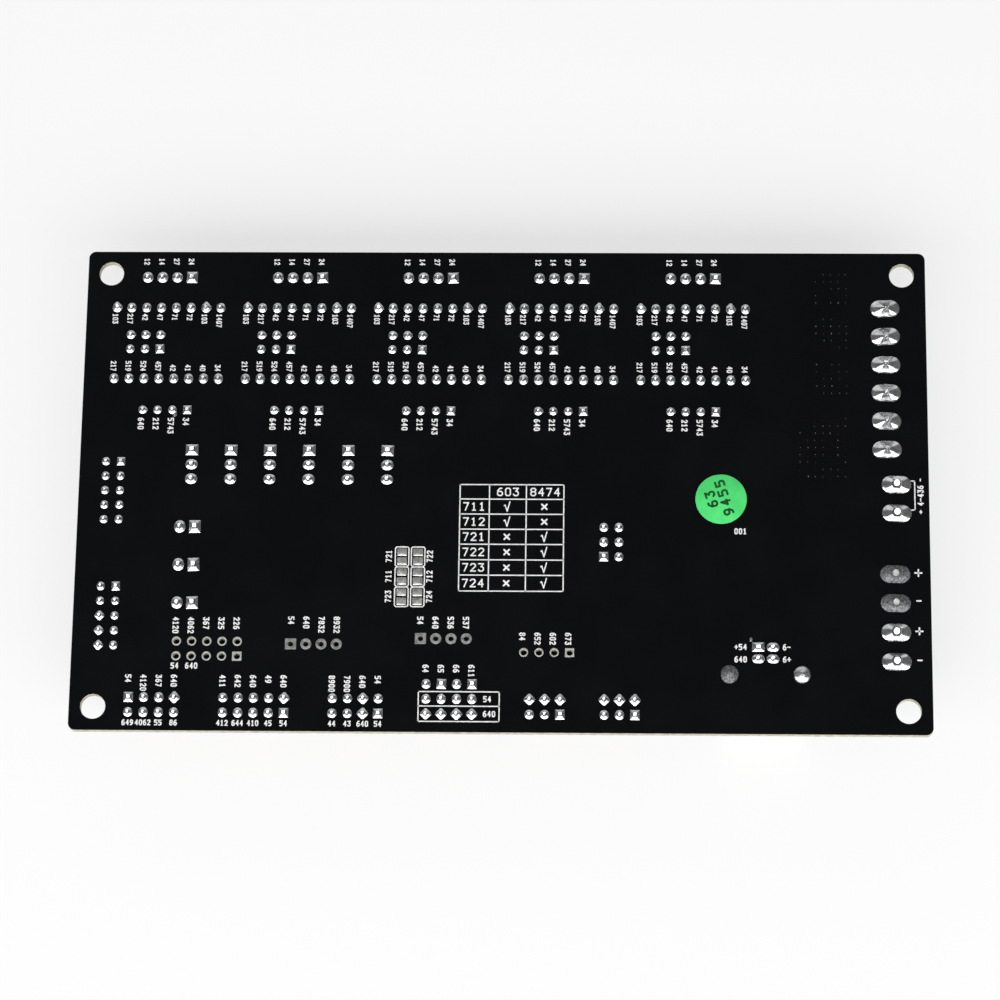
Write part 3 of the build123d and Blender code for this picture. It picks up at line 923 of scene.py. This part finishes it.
def tableRooms():
    xs, ys = table["x"], table["y"]
    return [(a + b) / 2 for a, b in zip(xs, xs[1:])], [(a + b) / 2 for a, b in zip(ys, ys[1:])]


def tableMarks():
    xs, ys = tableRooms()
    marks = []
    for row in range(len(table["rows"])):
        for side in (0, 1):
            kind = "tick" if (side, row) in table["ticks"] else "cross"
            marks += tickAndCross(xs[side + 1] - 0.1, ys[row + 1], kind)
    return marks


def jumperFrames():
    # A rounded frame round each pair of jumper pads
    width, depth, line, outerCorner, innerCorner = ink["jumperFrame"]
    thick = ink["thickness"] / 2
    outline = openFrame(
        (-width / 2, -depth / 2), (width / 2, depth / 2), line, solderFace, thick,
        lambda piece, inside: bevelUpright(piece, innerCorner if inside else outerCorner, 4),
    )
    return useUp(outline, [at(x, y) for x in barePads["jumperX"] for y in barePads["jumperY"]])


def otherNumbers():
    texts = []
    for x, numbers in ink["jumpers"]:
        for number, y in zip(numbers, barePads["jumperY"]):
            texts += writeNumber(number, x, y + 0.05, "normal", 90)
    for number in ink["single"]:
        texts += writeNumber(*number)
    xs, ys = tableRooms()
    for x, number in zip(xs[1:], table["heads"]):
        texts += writeNumber(number, x, ys[0], "table")
    for y, number in zip(ys[1:], table["rows"]):
        texts += writeNumber(number, xs[0] - 0.1, y, "table")
    return texts


lines = joinAs("printedLines", linePrint() + tableMarks() + signPrint() + jumperFrames())
finish(lines, printInk)
finish(joinAs("printedNumbers", driverPrint() + padPrint() + otherNumbers()), printInk)
print("screen print made")


# Round paper label with its two numbers
label = {
    "centre": (36.7, -1.77), "radius": 4.3, "thickness": 0.12, "sides": 64, "turn": 107,
    "numbers": (("63", 35.08, -1.83), ("9455", 37.23, -1.54)),
}


def paperLabel():
    high = solderFace + label["thickness"]
    paper = addRound(
        "roundLabel", label["radius"], solderFace, high, label["sides"], *label["centre"]
    )
    editEdges(paper, lambda a, b: min(a.z, b.z) > high - 0.01)
    bpy.ops.mesh.bevel(offset=0.05 * mm, segments=2)
    leaveEdit()
    smooth(paper)
    finish(paper, labelGreen)
    digits = []
    for number, x, y in label["numbers"]:
        digits += writeNumber(number, x, y, "label", label["turn"], level=high)
    finish(joinAs("roundLabelNumbers", digits), labelInk)


paperLabel()
print("label stuck on")


# Vias: holes too small to solder, closed by the mask and just standing out of it
vias = {
    "radius": 0.3, "rise": 0.03, "specks": (0, 0, 0, 0.035, 0.045, 0.05, 0.055, 0.065, 0.1),
    # upper left via, columns, rows and the step between them
    "fields": [((52.9, 38.1), 5, 5, 1.27), ((52.9, 30.1), 5, 5, 1.27), ((52.9, 22.0), 5, 5, 1.27),
               ((50.0, 12.4), 7, 9, 1.27)],
}


def viaFields():
    rise = vias["rise"]
    dome = addRound("via", vias["radius"], solderFace - rise, solderFace, 10)
    raiseRings(dome, [(0.85, 0.85, rise * 0.7), (0.55, 0.55, rise * 0.3), (0.3, 0.3, -rise)])
    smooth(dome, 60)
    places = [
        at(x + column * step, y - row * step)
        for (x, y), columns, rows, step in vias["fields"]
        for column in range(columns) for row in range(rows)
    ]
    # where the mask is thin over a via, a speck of tin shows through
    speck = addRound("speck", 1, solderFace - 0.01, solderFace + 0.012, 8)
    seen = []
    for place in places:
        size = chance.choice(vias["specks"])
        if size:
            seen.append(place @ at(chance.uniform(-0.1, 0.1), 0.05, width=size, depth=size))
    finish(spread("tentedVias", dome, places), boardMaterial)
    finish(spread("viaSpecks", speck, seen), levelledTin)


viaFields()
print("vias made")


# The side with the parts, which the board lies on


# Moulded nylon with a little glass in it: black, matt, with the fine grain of a spark-eroded mould
blackNylon = makeFinish(
    "nylonMouldedBlack", ("#131416", "#1b1c1f"), (0.48, 0.64), 4, 0.12, (0.008, 0.4)
)
# Moulded nylon with no colour in it: milky, waxy, a little glossier than the black
ivoryNylon = makeFinish(
    "nylonMouldedNatural", ("#e2ddcd", "#efebdf"), (0.36, 0.48), 5, 0.15, (0.006, 0.3), coat=0.1
)
# Moulded polyamide in signal green, satin
greenNylon = makeFinish(
    "polyamideMouldedGreen", ("#14894a", "#1c9955"), (0.34, 0.46), 6, 0.14, (0.006, 0.3), coat=0.1
)
# Shorting caps in moulded polyester: blue-black and rather smooth
capPlastic = makeFinish(
    "polyesterMouldedBlueBlack", ("#14161c", "#1b1e26"), (0.3, 0.42), 2, 0.1, (0.005, 0.3)
)
# Epoxy moulded round a chip: charcoal, dry and finely grained
chipEpoxy = makeFinish(
    "epoxyTransferMouldedCharcoal", ("#161617", "#202022"), (0.55, 0.72), 3, 0.08, (0.008, 0.5)
)
# Epoxy dipped on a resettable fuse: olive green with soft gloss
fuseEpoxy = makeFinish(
    "epoxyCoatedGreen", ("#3d7a4e", "#4a8b5b"), (0.3, 0.45), 1.5, 0.3, (0.02, 0.4)
)
# Pressed and fired ferrite: dark grey ceramic with tiny pits
firedFerrite = makeFinish(
    "ferriteSinteredGrey", ("#2a2a2b", "#3a3a3b"), (0.6, 0.8), 1.2, 0.1, (0.02, 0.6)
)
# Steel sheet rolled and nickel plated: pale warm metal with faint drawn lines
nickelSheet = makeFinish(
    "steelSheetNickelPlated", ("#b9b8b3", "#cfcec9"), (0.2, 0.32), 4, 0.12, (0.004, 0.3),
    metallic=1, squeeze=(1, 0.12, 1),
)
# Brass contacts with a flash of gold: warm yellow, polished
goldFlash = makeFinish(
    "brassGoldFlashed", ("#cf9f45", "#e3bd68"), (0.16, 0.26), 1.5, 0.1, (0.003, 0.3), metallic=1,
    squeeze=(1, 1, 0.2),
)
# Zinc-plated steel screws: bluish grey with a soft shine and turning marks
zincScrew = makeFinish(
    "steelZincPlatedTurned", ("#a7aaad", "#c6c9cc"), (0.26, 0.4), 0.8, 0.1, (0.006, 0.4),
    metallic=1, squeeze=(1, 1, 4),
)
# Leads and tabs of copper, tin plated matt
tinnedLead = makeFinish(
    "copperTinPlatedMatt", ("#b4b5b3", "#cfd0ce"), (0.32, 0.45), 1, 0.08, (0.004, 0.3), metallic=1
)
# Aluminium can drawn to shape and lacquered: silver with long fine lines
aluminiumCan = makeFinish(
    "aluminiumCanDrawn", ("#c3c6ca", "#d9dbde"), (0.24, 0.34), 5, 0.1, (0.003, 0.3), metallic=1,
    squeeze=(1, 1, 0.08),
)
# Button of moulded polycarbonate: black and smooth
buttonPlastic = makeFinish(
    "polycarbonateMouldedBlack", ("#1b1c1e", "#232427"), (0.28, 0.38), 1.5, 0.12, (0.004, 0.3)
)
# Ceramic of the smallest parts: white under a resistor's glaze, tan in a capacitor
whiteCeramic = makeFinish(
    "aluminaFiredWhite", ("#dcdcd8", "#ecece9"), (0.4, 0.55), 0.8, 0.08, (0.004, 0.3)
)
tanCeramic = makeFinish(
    "titanateFiredTan", ("#a98a62", "#bb9c74"), (0.4, 0.55), 0.8, 0.08, (0.004, 0.3)
)
# Marks burnt into epoxy by a laser: thin, pale grey and matt
laserMark = makeFinish(
    "epoxyLaserMarkedGrey", ("#77777a", "#8b8b8e"), (0.7, 0.8), 2, 0.06, (0.004, 0.3)
)
print("materials for the parts made")


# starts of the nodes' names, finish, slot and the width of the broken edges
dressing = [
    ("motor_connector endstop_connector thermistor_connector", ivoryNylon, "white_nylon", 0.12),
    ("driver_sockets", blackNylon, "black_nylon", 0.1),
    ("box_header", blackNylon, "black_nylon", 0.16),
    ("microstep_caps", capPlastic, "cap_plastic", 0.2),
    ("output_terminal bed_terminal power_terminal", greenNylon, "green_nylon", 0.16),
    ("terminal_clamps", nickelSheet, "clamp_metal", 0.06),
    ("usb_shell", nickelSheet, "nickel_sheet", 0.08),
    ("usb_core", ivoryNylon, "white_nylon", 0.08),
    ("contact_pins", goldFlash, "gold_plate", 0.09),
    ("processor usb_chip regulator", chipEpoxy, "chip_epoxy", 0.12),
    ("inductor", firedFerrite, "ferrite", 0.3),
    ("crystals", aluminiumCan, "crystal_can", 0.4),
    ("fuses", fuseEpoxy, "fuse_epoxy", 0.2),
    ("transistors", chipEpoxy, "chip_epoxy", 0.14),
    ("transistor_tabs", tinnedLead, "tinned_copper", 0.06),
    ("reset_switch", nickelSheet, "switch_steel", 0.08),
]


def dressParts():
    for starts, material, slot, edge in dressing:
        for start in starts.split():
            for name in nodes:
                if name.startswith(start):
                    dress(name, material, edge)
    dress("reset_button", buttonPlastic, 0.16, body="button")


dressParts()
print("housings and parts dressed")


# Post headers: a bar of cells that break apart, waisted between each pair of pins
headerCell = {"waist": 0.36, "edge": 0.08, "rib": 0.3, "slope": 0.12, "hollow": 0.2}


def cellsOf(name):
    low, high = nodeBoxes[name]
    columns, rows = round((high.x - low.x) / pitch), round((high.y - low.y) / pitch)
    return [
        at(low.x + (i + 0.5) * pitch, low.y + (j + 0.5) * pitch)
        for i in range(columns) for j in range(rows)
    ]


def postHeaders():
    low, high = nodeBoxes["program_header"]
    half = pitch / 2
    cell = addBlock("headerCell", (-half, -half, low.z), (half, half, high.z))
    bevelUpright(cell, headerCell["waist"])
    editFaces(cell, lambda face: face.normal.z < -0.9)
    bpy.ops.mesh.inset(thickness=headerCell["rib"] * mm)
    bpy.ops.mesh.inset(thickness=headerCell["slope"] * mm, depth=-headerCell["hollow"] * mm)
    leaveEdit()
    editEdges(cell, lambda a, b: max(a.z, b.z) < low.z + 0.01 and max(abs(a.x), abs(a.y)) > 1)
    bpy.ops.mesh.bevel(offset=headerCell["edge"] * mm, segments=1)
    leaveEdit()
    smooth(cell)
    for name in nodes:
        if "_header" in name and not name.startswith("box"):
            header = joinAs(name + ".finished", copyTo(cell, cellsOf(name)))
            finish(header, blackNylon, [name])
    bpy.data.objects.remove(cell)


postHeaders()
print("post headers made")


# Terminal screws: cheese heads with one slot, turned, on a plain shank
screw = {"head": 1.8, "headHeight": 1.6, "shank": 1.2, "slot": 0.55, "slotDepth": 0.8, "sides": 28}


def terminalScrews():
    boxes = [boxOf(points) for points in solidsOf("terminal_screws")]
    bottom, top = (corner.z for corner in boxes[0])
    head, height, slot = screw["head"], screw["headHeight"], screw["slot"] / 2
    part = addRound("screw", head, bottom, bottom + height, screw["sides"])
    narrow = screw["shank"] / head
    raiseRings(part, [(narrow, narrow, 0), (narrow, narrow, top - bottom - height)])
    reach = head + 1
    floor = bottom + screw["slotDepth"]
    cutAway(part, addBlock("slot", (-reach, -slot, bottom - 1), (reach, slot, floor)))
    breakEdges(part, 0.12, 2, 40)
    smooth(part)
    turned = []
    for low, high in boxes:
        middle = (low + high) / 2
        turned.append(at(middle.x, middle.y, turn=chance.uniform(0, 180)))
    finish(spread("terminalScrews", part, turned), zincScrew, ["terminal_screws"])


terminalScrews()
print("terminal screws made")


# Leads: flat strips that leave a chip's side, bend to the board and lie on it
leads = {
    # chip: leads on each of two sides along X, on each of two sides along Y, step, width, reach
    "processor": (25, 25, 0.5, 0.22, 1.0),
    "usb_chip": (14, 0, 0.65, 0.3, 1.2),
    "regulator": (4, 0, 1.27, 0.42, 1.1),
    "thickness": 0.14,
    "bends": (0.08, 0.27, 0.5),  # shares of the reach: out, down to the board and along it
}


def chipLeads(name):
    alongX, alongY, step, width, reach = leads[name]
    low, high = nodeBoxes[name]
    middle, half = (low + high) / 2, (high - low) / 2
    thick = leads["thickness"]
    level = middle.z - thick / 2
    lead = addBlock("lead", (-0.1, -width / 2, level), (0.15, width / 2, level + thick))
    fall = high.z - thick - level
    for share, rise in zip(leads["bends"], (0, fall, 0)):
        editFaces(lead, lambda face: face.normal.x > 0.7 and abs(face.normal.z) < 0.5)
        extrude(reach * share, 0, rise)
        leaveEdit()
    smooth(lead, 50)
    places = []
    for count, depth, turn in ((alongX, half.y, 90), (alongY, half.x, 0)):
        for i in range(count):
            along = (i - (count - 1) / 2) * step
            for side in (0, 180):
                places.append(at(middle.x, middle.y, turn=turn + side) @ at(depth, along))
    finish(spread(name + "Leads", lead, places), tinnedLead)


for chip in ("processor", "usb_chip", "regulator"):
    chipLeads(chip)
print("chip leads made")


# Capacitors: a drawn can with a rolled groove on a black foot, scored across the end so that it
# can vent, with a black half-moon on the minus side
can = {
    "sides": 40, "rim": 0.45, "groove": 0.93, "score": 0.22, "scoreReach": 0.62, "scoreDepth": 0.12,
    "moon": 0.38, "moonRise": 0.015, "footCorner": 1.5,
    "neck": (2.2, 0.3, 0.4, 0.3, 1.1),  # height of the groove's start over the foot, and its steps
}


def capacitors():
    solids = solidsOf("capacitors")
    places, feet = [], []
    base = 0
    for points in solids:
        low, high = boxOf(points)
        roundLow, roundHigh = boxOf([point for point in points if point.z < low.z + 0.01])
        footTop = max(point.z for point in points if point.z < partsFace - 0.1)
        centre, radius = (roundLow + roundHigh) / 2, (roundHigh.x - roundLow.x) / 2
        # one can is made for the first, with its height, and widened for the others
        base = base or radius
        places.append(at(centre.x, centre.y, width=radius / base, depth=radius / base))
        foot = addBlock("foot", (low.x, low.y, footTop), high)
        bevelUpright(foot, can["footCorner"], test=lambda point: point.x > centre.x)
        feet.append(foot)
    end, sides, groove = low.z, can["sides"], can["groove"]
    start, *steps = can["neck"]
    drawn = addRound("can", base, end, footTop - start, sides)
    breakEdges(drawn, can["rim"], 3, 60)
    neck = addRound("canNeck", base, footTop - start - 0.1, footTop - start + 0.1, sides)
    raiseRings(neck, list(zip((groove, groove, 1, 1), (groove, groove, 1, 1), steps)))
    for turn in (0, 90):
        reach, half = base * can["scoreReach"], can["score"] / 2
        score = addBlock("score", (-reach, -half, end - 1), (reach, half, end + can["scoreDepth"]))
        score.data.transform(at(0, 0, turn=turn))
        cutAway(drawn, score)
    drawn = joinAs("can", [drawn, neck])
    smooth(drawn, 35)
    inside = base - can["rim"] - 0.05
    moon = addRound("moon", inside, end - can["moonRise"], end + 0.01, sides)
    cutAway(moon, addBlock("moonCutter", (-base * can["moon"], -9, 0), (9, 9, 2)))
    finish(spread("capacitorCans", drawn, places), aluminiumCan, ["capacitors"])
    finish(spread("capacitorMoons", moon, places), blackNylon)
    feet = joinAs("capacitorFeet", feet)
    breakEdges(feet, 0.12, 2)
    finish(feet, blackNylon)


capacitors()
print("capacitors made")


# Metal ends of the fuses, side contacts of the inductor, base and rivets of the reset switch
smallMetal = {
    # width and depth of a fuse's end, and how far it stands over the fuse
    "fuseEnd": (0.9, 5.16, 0.03),
    # how far a contact starts outside the inductor, its length, half its depth and its height
    "contact": (0.35, 1.95, 1.5, 0.5),
    # distance of the rivets from the switch's edges, radius, and how far they stand out and in
    "rivet": (0.75, 0.42, 0.16, 0.1), "base": (0.05, 2.6),
}


def finishMetal(name, pieces, material, edge=0.08):
    piece = joinAs(name, pieces)
    breakEdges(piece, edge, 2)
    smooth(piece)
    finish(piece, material)


def partMetal():
    contacts = []
    width, depth, grow = smallMetal["fuseEnd"]
    for points in solidsOf("fuses"):
        low, high = boxOf(points)
        front, back = ((low.y + high.y + side * depth) / 2 for side in (-1, 1))
        for x in (low.x - grow, high.x + grow - width):
            contacts.append(addBlock("end", (x, front, low.z - grow), (x + width, back, high.z)))
    out, width, half, height = smallMetal["contact"]
    low, high = nodeBoxes["inductor"]
    middle = (low.y + high.y) / 2
    for x in (low.x - out, high.x + out - width):
        foot = (x, middle - half, partsFace - height)
        contacts.append(addBlock("contact", foot, (x + width, middle + half, partsFace)))
    finishMetal("partContacts", contacts, tinnedLead)


def switchDetail():
    low, high = nodeBoxes["reset_switch"]
    inset, radius, rise, sink = smallMetal["rivet"]
    rivets = [
        addRound("rivet", radius, low.z - rise, low.z + sink, 16, x, y)
        for x in (low.x + inset, high.x - inset) for y in (low.y + inset, high.y - inset)
    ]
    finishMetal("switchRivets", rivets, buttonPlastic, edge=0.1)
    grow, height = smallMetal["base"]
    base = addBlock(
        "switchBase", (low.x - grow, low.y - grow, high.z - height),
        (high.x + grow, high.y + grow, high.z),
    )
    breakEdges(base, 0.1, 1)
    finish(base, blackNylon)


partMetal()
switchDetail()
print("contacts and switch made")


# Small parts soldered flat on the board, in rows: a body between two tinned ends
flatParts = {
    # length, width and height of the body and the length of each end
    "resistor": (1.6, 0.8, 0.45, 0.28), "capacitor": (1.6, 0.8, 0.8, 0.32),
    "large": (3.2, 1.6, 1.5, 0.5), "lamp": (1.9, 1.2, 0.7, 0.35),
    # how far a pad reaches past a part's end and its sides, and its height
    "pad": (0.35, 0.1, 0.06),
    "gap": 0.05, "proud": 0.02,  # body's height over the board, and how far its ends stand out
    "padRoom": 1.3, "room": (0.5, 0.9),  # room kept round bare pads, and at the sides and ends
    # kind, first place, number of parts, step and turn of each row
    "rows": [
        ("capacitor", (-6, -17.3), 5, (3, 0), 0), ("capacitor", (-6, 1.4), 5, (3, 0), 0),
        ("capacitor", (-9.6, -13.5), 4, (0, 3.6), 90), ("capacitor", (9.6, -13.5), 4, (0, 3.6), 90),
        ("capacitor", (-7.6, -20.4), 1, (0, 0), 90), ("capacitor", (7.6, -20.4), 1, (0, 0), 90),
        ("resistor", (-36, -21.5), 7, (2.1, 0), 90), ("resistor", (-18, -21.5), 5, (2.1, 0), 90),
        ("resistor", (-44.8, -21.2), 3, (0, 6.6), 90),
        ("capacitor", (-43.2, -21.2), 3, (0, 6.6), 90),
        ("resistor", (26.2, -28.6), 6, (1.7, 0), 90), ("capacitor", (38.4, -24.3), 3, (0, 2), 0),
        ("lamp", (14.5, -27.6), 3, (3.4, 0), 0), ("resistor", (14.5, -25.4), 3, (3.4, 0), 0),
        ("capacitor", (24.4, -12.5), 2, (0, 2.2), 90), ("large", (45.6, -3.4), 2, (0, 7.4), 90),
        ("resistor", (44.6, 35.6), 1, (0, 0), 90), ("resistor", (44.6, 27.6), 1, (0, 0), 90),
        ("resistor", (44.6, 19.6), 1, (0, 0), 90), ("lamp", (42.2, 35.6), 1, (0, 0), 90),
        ("lamp", (42.2, 27.6), 1, (0, 0), 90), ("lamp", (42.2, 19.6), 1, (0, 0), 90),
        ("large", (31.2, 4), 2, (0, 4.6), 90), ("resistor", (44.5, 11.6), 4, (1.7, 0), 90),
        ("lamp", (49.2, -14.6), 1, (0, 0), 0), ("lamp", (49.2, -31.6), 1, (0, 0), 0),
    ],
    # around each driver, from the middle of its sockets
    "driver": [
        ("resistor", (2.2, 29.4), 4, (1.7, 0), 90), ("capacitor", (2.2, 22.1), 4, (1.7, 0), 90),
        ("large", (3.4, 25.8), 2, (3.8, 0), 0), ("resistor", (-7.2, 10.2), 4, (2, 0), 90),
    ],
}


def takenRooms():
    taken = []
    for name in nodes:
        if name not in ("board", "contact_pins", "solder_joints"):
            taken += [boxOf(points) for points in solidsOf(name)]
    room = flatParts["padRoom"]
    for (x, y), count, *rest in barePads["rows"]:
        end = x + (count - 1) * pitch
        taken.append((Vector((x - room, y - room)), Vector((end + room, y + room))))
    return taken


def isFree(x, y, width, depth, taken):
    return all(
        abs(x - (low.x + high.x) / 2) > (high.x - low.x + width) / 2
        or abs(y - (low.y + high.y) / 2) > (high.y - low.y + depth) / 2
        for low, high in taken
    )


def twoEnds(name, xs, width, depth, low):
    return joinAs(name, [
        addBlock(name, (x, -depth / 2, low), (x + width, depth / 2, partsFace)) for x in xs
    ])


def flatSoldered():
    taken = takenRooms()
    rows = list(flatParts["rows"])
    for number in range(1, 6):
        low, high = nodeBoxes[f"driver_sockets_{number}"]
        middle = (low.x + high.x) / 2
        rows += [(kind, (middle + x, y), *rest) for kind, (x, y), *rest in flatParts["driver"]]
    sideRoom, endRoom = flatParts["room"]
    pad, padSide, padHeight = flatParts["pad"]
    gap, proud = flatParts["gap"], flatParts["proud"]
    ends = []
    finishes = (
        ("resistor", chipEpoxy), ("capacitor", tanCeramic), ("large", tanCeramic),
        ("lamp", whiteCeramic),
    )
    for kind, material in finishes:
        length, width, height, end = flatParts[kind]
        half, top = length / 2, partsFace - height
        low, high = (end - half, -width / 2, top), (half - end, width / 2, partsFace - gap)
        body = addBlock(kind, low, high)
        caps = twoEnds("ends", (-half, half - end), end, width + 2 * proud, top - proud)
        foot = partsFace - padHeight
        pads = twoEnds("pads", (-half - pad, half - end), end + pad, width + 2 * padSide, foot)
        breakEdges(body, 0.05, 1)
        breakEdges(caps, 0.07, 1)
        spots = []
        for rowKind, (firstX, firstY), count, (stepX, stepY), turn in rows:
            reach = (length + endRoom, width + sideRoom)
            for i in range(count if rowKind == kind else 0):
                x, y = firstX + i * stepX, firstY + i * stepY
                if isFree(x, y, *(reach if turn == 0 else reversed(reach)), taken):
                    spots.append(at(x, y, turn=turn + chance.uniform(-1.5, 1.5)))
        ends += useUp(caps, spots) + useUp(pads, spots)
        finish(spread(kind + "Bodies", body, spots), material)
    finish(joinAs("flatPartEnds", ends), tinnedLead)


flatSoldered()
print("small parts made")


# White print round the connectors, and plain numbers beside them and on the parts
underPrint = {
    "margin": 0.35, "line": 0.2, "boardEdge": 0.4,
    "framed": ("driver_sockets", "motor", "endstop", "thermistor", "box", "aux", "servo", "signal",
               "program", "step_header", "microstep_header", "output", "bed", "power", "inductor"),
    # beside each driver: place from its sockets and level
    "driver": (-1.3, 25.7),
    # start of a connector's name, the digit after its own number, upper side or not, and gap
    "connectors": {
        "endstop": ("1", False, -1.1), "thermistor": ("4", False, -1.1), "aux": ("3", True, 1.15),
        "signal": ("6", True, 1.15), "box": ("3", True, 1.15),
    },
    # numbers on the board: place, and size and turn where they aren't the usual ones
    "numbers": [
        ("63", -33, -17, "table"), ("8474", -22, -12, "large"), ("711", -22, -17, "table"),
        ("14", 20.2, -20.6), ("27", 40.5, -12.8), ("12", 45.5, 16, "large"),
        ("24", 46, -34.6, "large", 90), ("410", 26.4, -33.2), ("37", 20, 6.2, "table"),
    ],
    # parts that carry a number: text, size and how far it is moved from the middle
    "marked": [
        ("processor", "8474", "large", 0, -1), ("processor", "637", "table", 0, 1.6),
        ("usb_chip", "4120", "table", 0.4, 0.6), ("usb_chip", "63", "normal", 0.4, -1.2),
        ("regulator", "47", "normal", 0, 0),
    ],
    # dot at a chip's first lead: radius and distance from the edges
    "dots": {"processor": (0.55, 1.5), "usb_chip": (0.35, 1.0), "regulator": (0.25, 0.7)},
    "repeated": {"transistors": "407", "fuses": "110", "crystals": "1600"},
}


def writeUnder(number, x, y, size="normal", turn=0, level=partsFace):
    return writeNumber(number, x, y, size, turn, level=level, sway=180)


def writeOn(box, number, size="normal", x=0, y=0, turn=0):
    middle = (box[0] + box[1]) / 2
    return writeUnder(number, middle.x + x, middle.y + y, size, turn, box[0].z)


def frameParts():
    margin, thick = underPrint["margin"], ink["thickness"] / 2
    edgeX, edgeY = (side - underPrint["boardEdge"] for side in (boardHigh.x, boardHigh.y))
    frames = []
    for name in nodes:
        if name.startswith(underPrint["framed"]):
            low, high = nodeBoxes[name]
            first = (max(-edgeX, low.x - margin), max(-edgeY, low.y - margin))
            last = (min(edgeX, high.x + margin), min(edgeY, high.y + margin))
            frames.append(openFrame(first, last, underPrint["line"], partsFace, thick))
    finish(joinAs("partFrames", frames), printInk)


def numberParts():
    texts = []
    shift, y = underPrint["driver"]
    for number in range(1, 6):
        x = nodeBoxes[f"driver_sockets_{number}"][0].x + shift
        texts += writeUnder(str(number), x, y, "table" if number < 5 else "large")
    for name in nodes:
        for start, (digit, upper, gap) in underPrint["connectors"].items():
            if name.startswith(start):
                low, high = nodeBoxes[name]
                y = (high if upper else low).y + gap
                texts += writeUnder(name[-1] + digit, (low.x + high.x) / 2, y)
    for number in underPrint["numbers"]:
        texts += writeUnder(*number)
    finish(joinAs("partNumbers", texts), printInk)


def markParts():
    marks = []
    for name, *mark in underPrint["marked"]:
        marks += writeOn(nodeBoxes[name], *mark)
    for name, (radius, inset) in underPrint["dots"].items():
        low, high = nodeBoxes[name]
        dot = (low.z - 0.01, low.z + 0.01, 20, high.x - inset, low.y + inset)
        marks.append(addRound("dot", radius, *dot))
    for name, number in underPrint["repeated"].items():
        for low, high in map(boxOf, solidsOf(name)):
            # the larger solids only, so the leads of a part carry no number
            if high.x - low.x > 3 and high.z - low.z > 0.8:
                marks += writeOn((low, high), number)
    finish(joinAs("partMarks", marks), laserMark)
    code = writeOn(nodeBoxes["inductor"], "470", "large")
    for box in map(boxOf, solidsOf("capacitors")):
        code += writeOn(box, "100", "table", 1.2, -1.0, 90)
    finish(joinAs("canNumbers", code), printInk)


frameParts()
numberParts()
markParts()
for master in digitMasters.values():
    bpy.data.objects.remove(master)
print("print on the parts' side made")


# Camera, lamps and floor
studio = {
    "lensMm": 134.9, "distance": 629.8, "aim": (-0.4, -2.0),
    "tilt": 16.11, "sway": 1.84, "roll": 0.26,
    "floorSide": 6000, "floorTone": "#f4f4f4", "floorGlow": 0.7,
    # world light low down and overhead, and the heights between which it changes
    "horizon": 0.14, "overhead": 0.12, "fade": (0.45, 0.85),
    # place, size and radiance of each softbox, where 1 would look white
    "lamps": {
        "frontSoftbox": ((-40, -684, 615), (3400, 670), 3.7),
        "backSoftbox": ((-80, 900, 330), (1600, 640), 0.6),
    },
}


def placeCamera():
    turn = Matrix.Identity(3)
    for key, axis in (("roll", "Z"), ("sway", "Y"), ("tilt", "X")):
        turn = turn @ Matrix.Rotation(math.radians(-studio[key]), 3, axis)
    turn.transpose()
    aimX, aimY = studio["aim"]
    eye = turn @ Vector((aimX, aimY, studio["distance"])) + Vector((0, 0, solderFace))
    bpy.ops.object.camera_add(location=eye * mm, rotation=turn.to_euler())
    camera = bpy.context.object
    camera.data.lens = studio["lensMm"]
    camera.data.sensor_width = 36
    camera.data.clip_start = 0.01
    bpy.context.scene.camera = camera


def placeLamps():
    for name, (place, size, radiance) in studio["lamps"].items():
        aim = -Vector(place).normalized()
        turn = aim.to_track_quat("-Z", "Y").to_euler()
        bpy.ops.object.light_add(type="AREA", location=Vector(place) * mm, rotation=turn)
        lamp = bpy.context.object
        lamp.name = name
        lamp.data.shape = "RECTANGLE"
        lamp.data.size, lamp.data.size_y = (side * mm for side in size)
        lamp.data.energy = radiance * math.pi * lamp.data.size * lamp.data.size_y
    world = bpy.data.worlds.new("studioRoom")
    bpy.context.scene.world = world
    world.use_nodes = True
    direction = addNode(world, "TexCoord").outputs["Generated"]
    height = addNode(world, "SeparateXYZ", {}, {"Vector": direction}).outputs["Z"]
    light = addNode(
        world, "MapRange",
        {"From Min": studio["fade"][0], "From Max": studio["fade"][1],
         "To Min": studio["horizon"], "To Max": studio["overhead"]},
        {"Value": height},
    )
    background = world.node_tree.nodes["Background"]
    background.inputs["Color"].default_value = (1, 1, 1, 1)
    world.node_tree.links.new(light.outputs["Result"], background.inputs["Strength"])


def layFloor():
    bpy.ops.object.select_all(action="DESELECT")
    bpy.ops.mesh.primitive_plane_add(size=studio["floorSide"] * mm, location=(0, 0, -0.0002))
    floor = settle(nameNew("studioFloor"))
    # Matt paper sweep, lit from behind for the camera and for mirror-like metal
    material = makeFinish(
        "paperSweepWhite", (studio["floorTone"],) * 2, (0.8, 0.9), 200, 5, (0.01, 0.1), specular=0.1
    )
    path = addNode(material, "LightPath").outputs
    eyes = {0: path["Is Camera Ray"], 1: path["Is Glossy Ray"]}
    seen = addNode(material, "Math", {"operation": "MAXIMUM"}, eyes)
    share = addNode(
        material, "Math", {"operation": "MULTIPLY", 1: studio["floorGlow"]}, {0: seen.outputs[0]}
    )
    glow = addNode(material, "Emission", {"Color": (1, 1, 1, 1), "Strength": 1})
    mix = addNode(
        material, "MixShader", {},
        {"Fac": share.outputs[0], 1: material.node_tree.nodes["Principled BSDF"].outputs[0],
         2: glow.outputs[0]},
    )
    sheet = material.node_tree.nodes["Material Output"].inputs["Surface"]
    material.node_tree.links.new(mix.outputs[0], sheet)
    floor.data.materials.append(material)


placeCamera()
placeLamps()
layFloor()
bpy.context.scene.view_settings.view_transform = "Standard"
print("studio set")
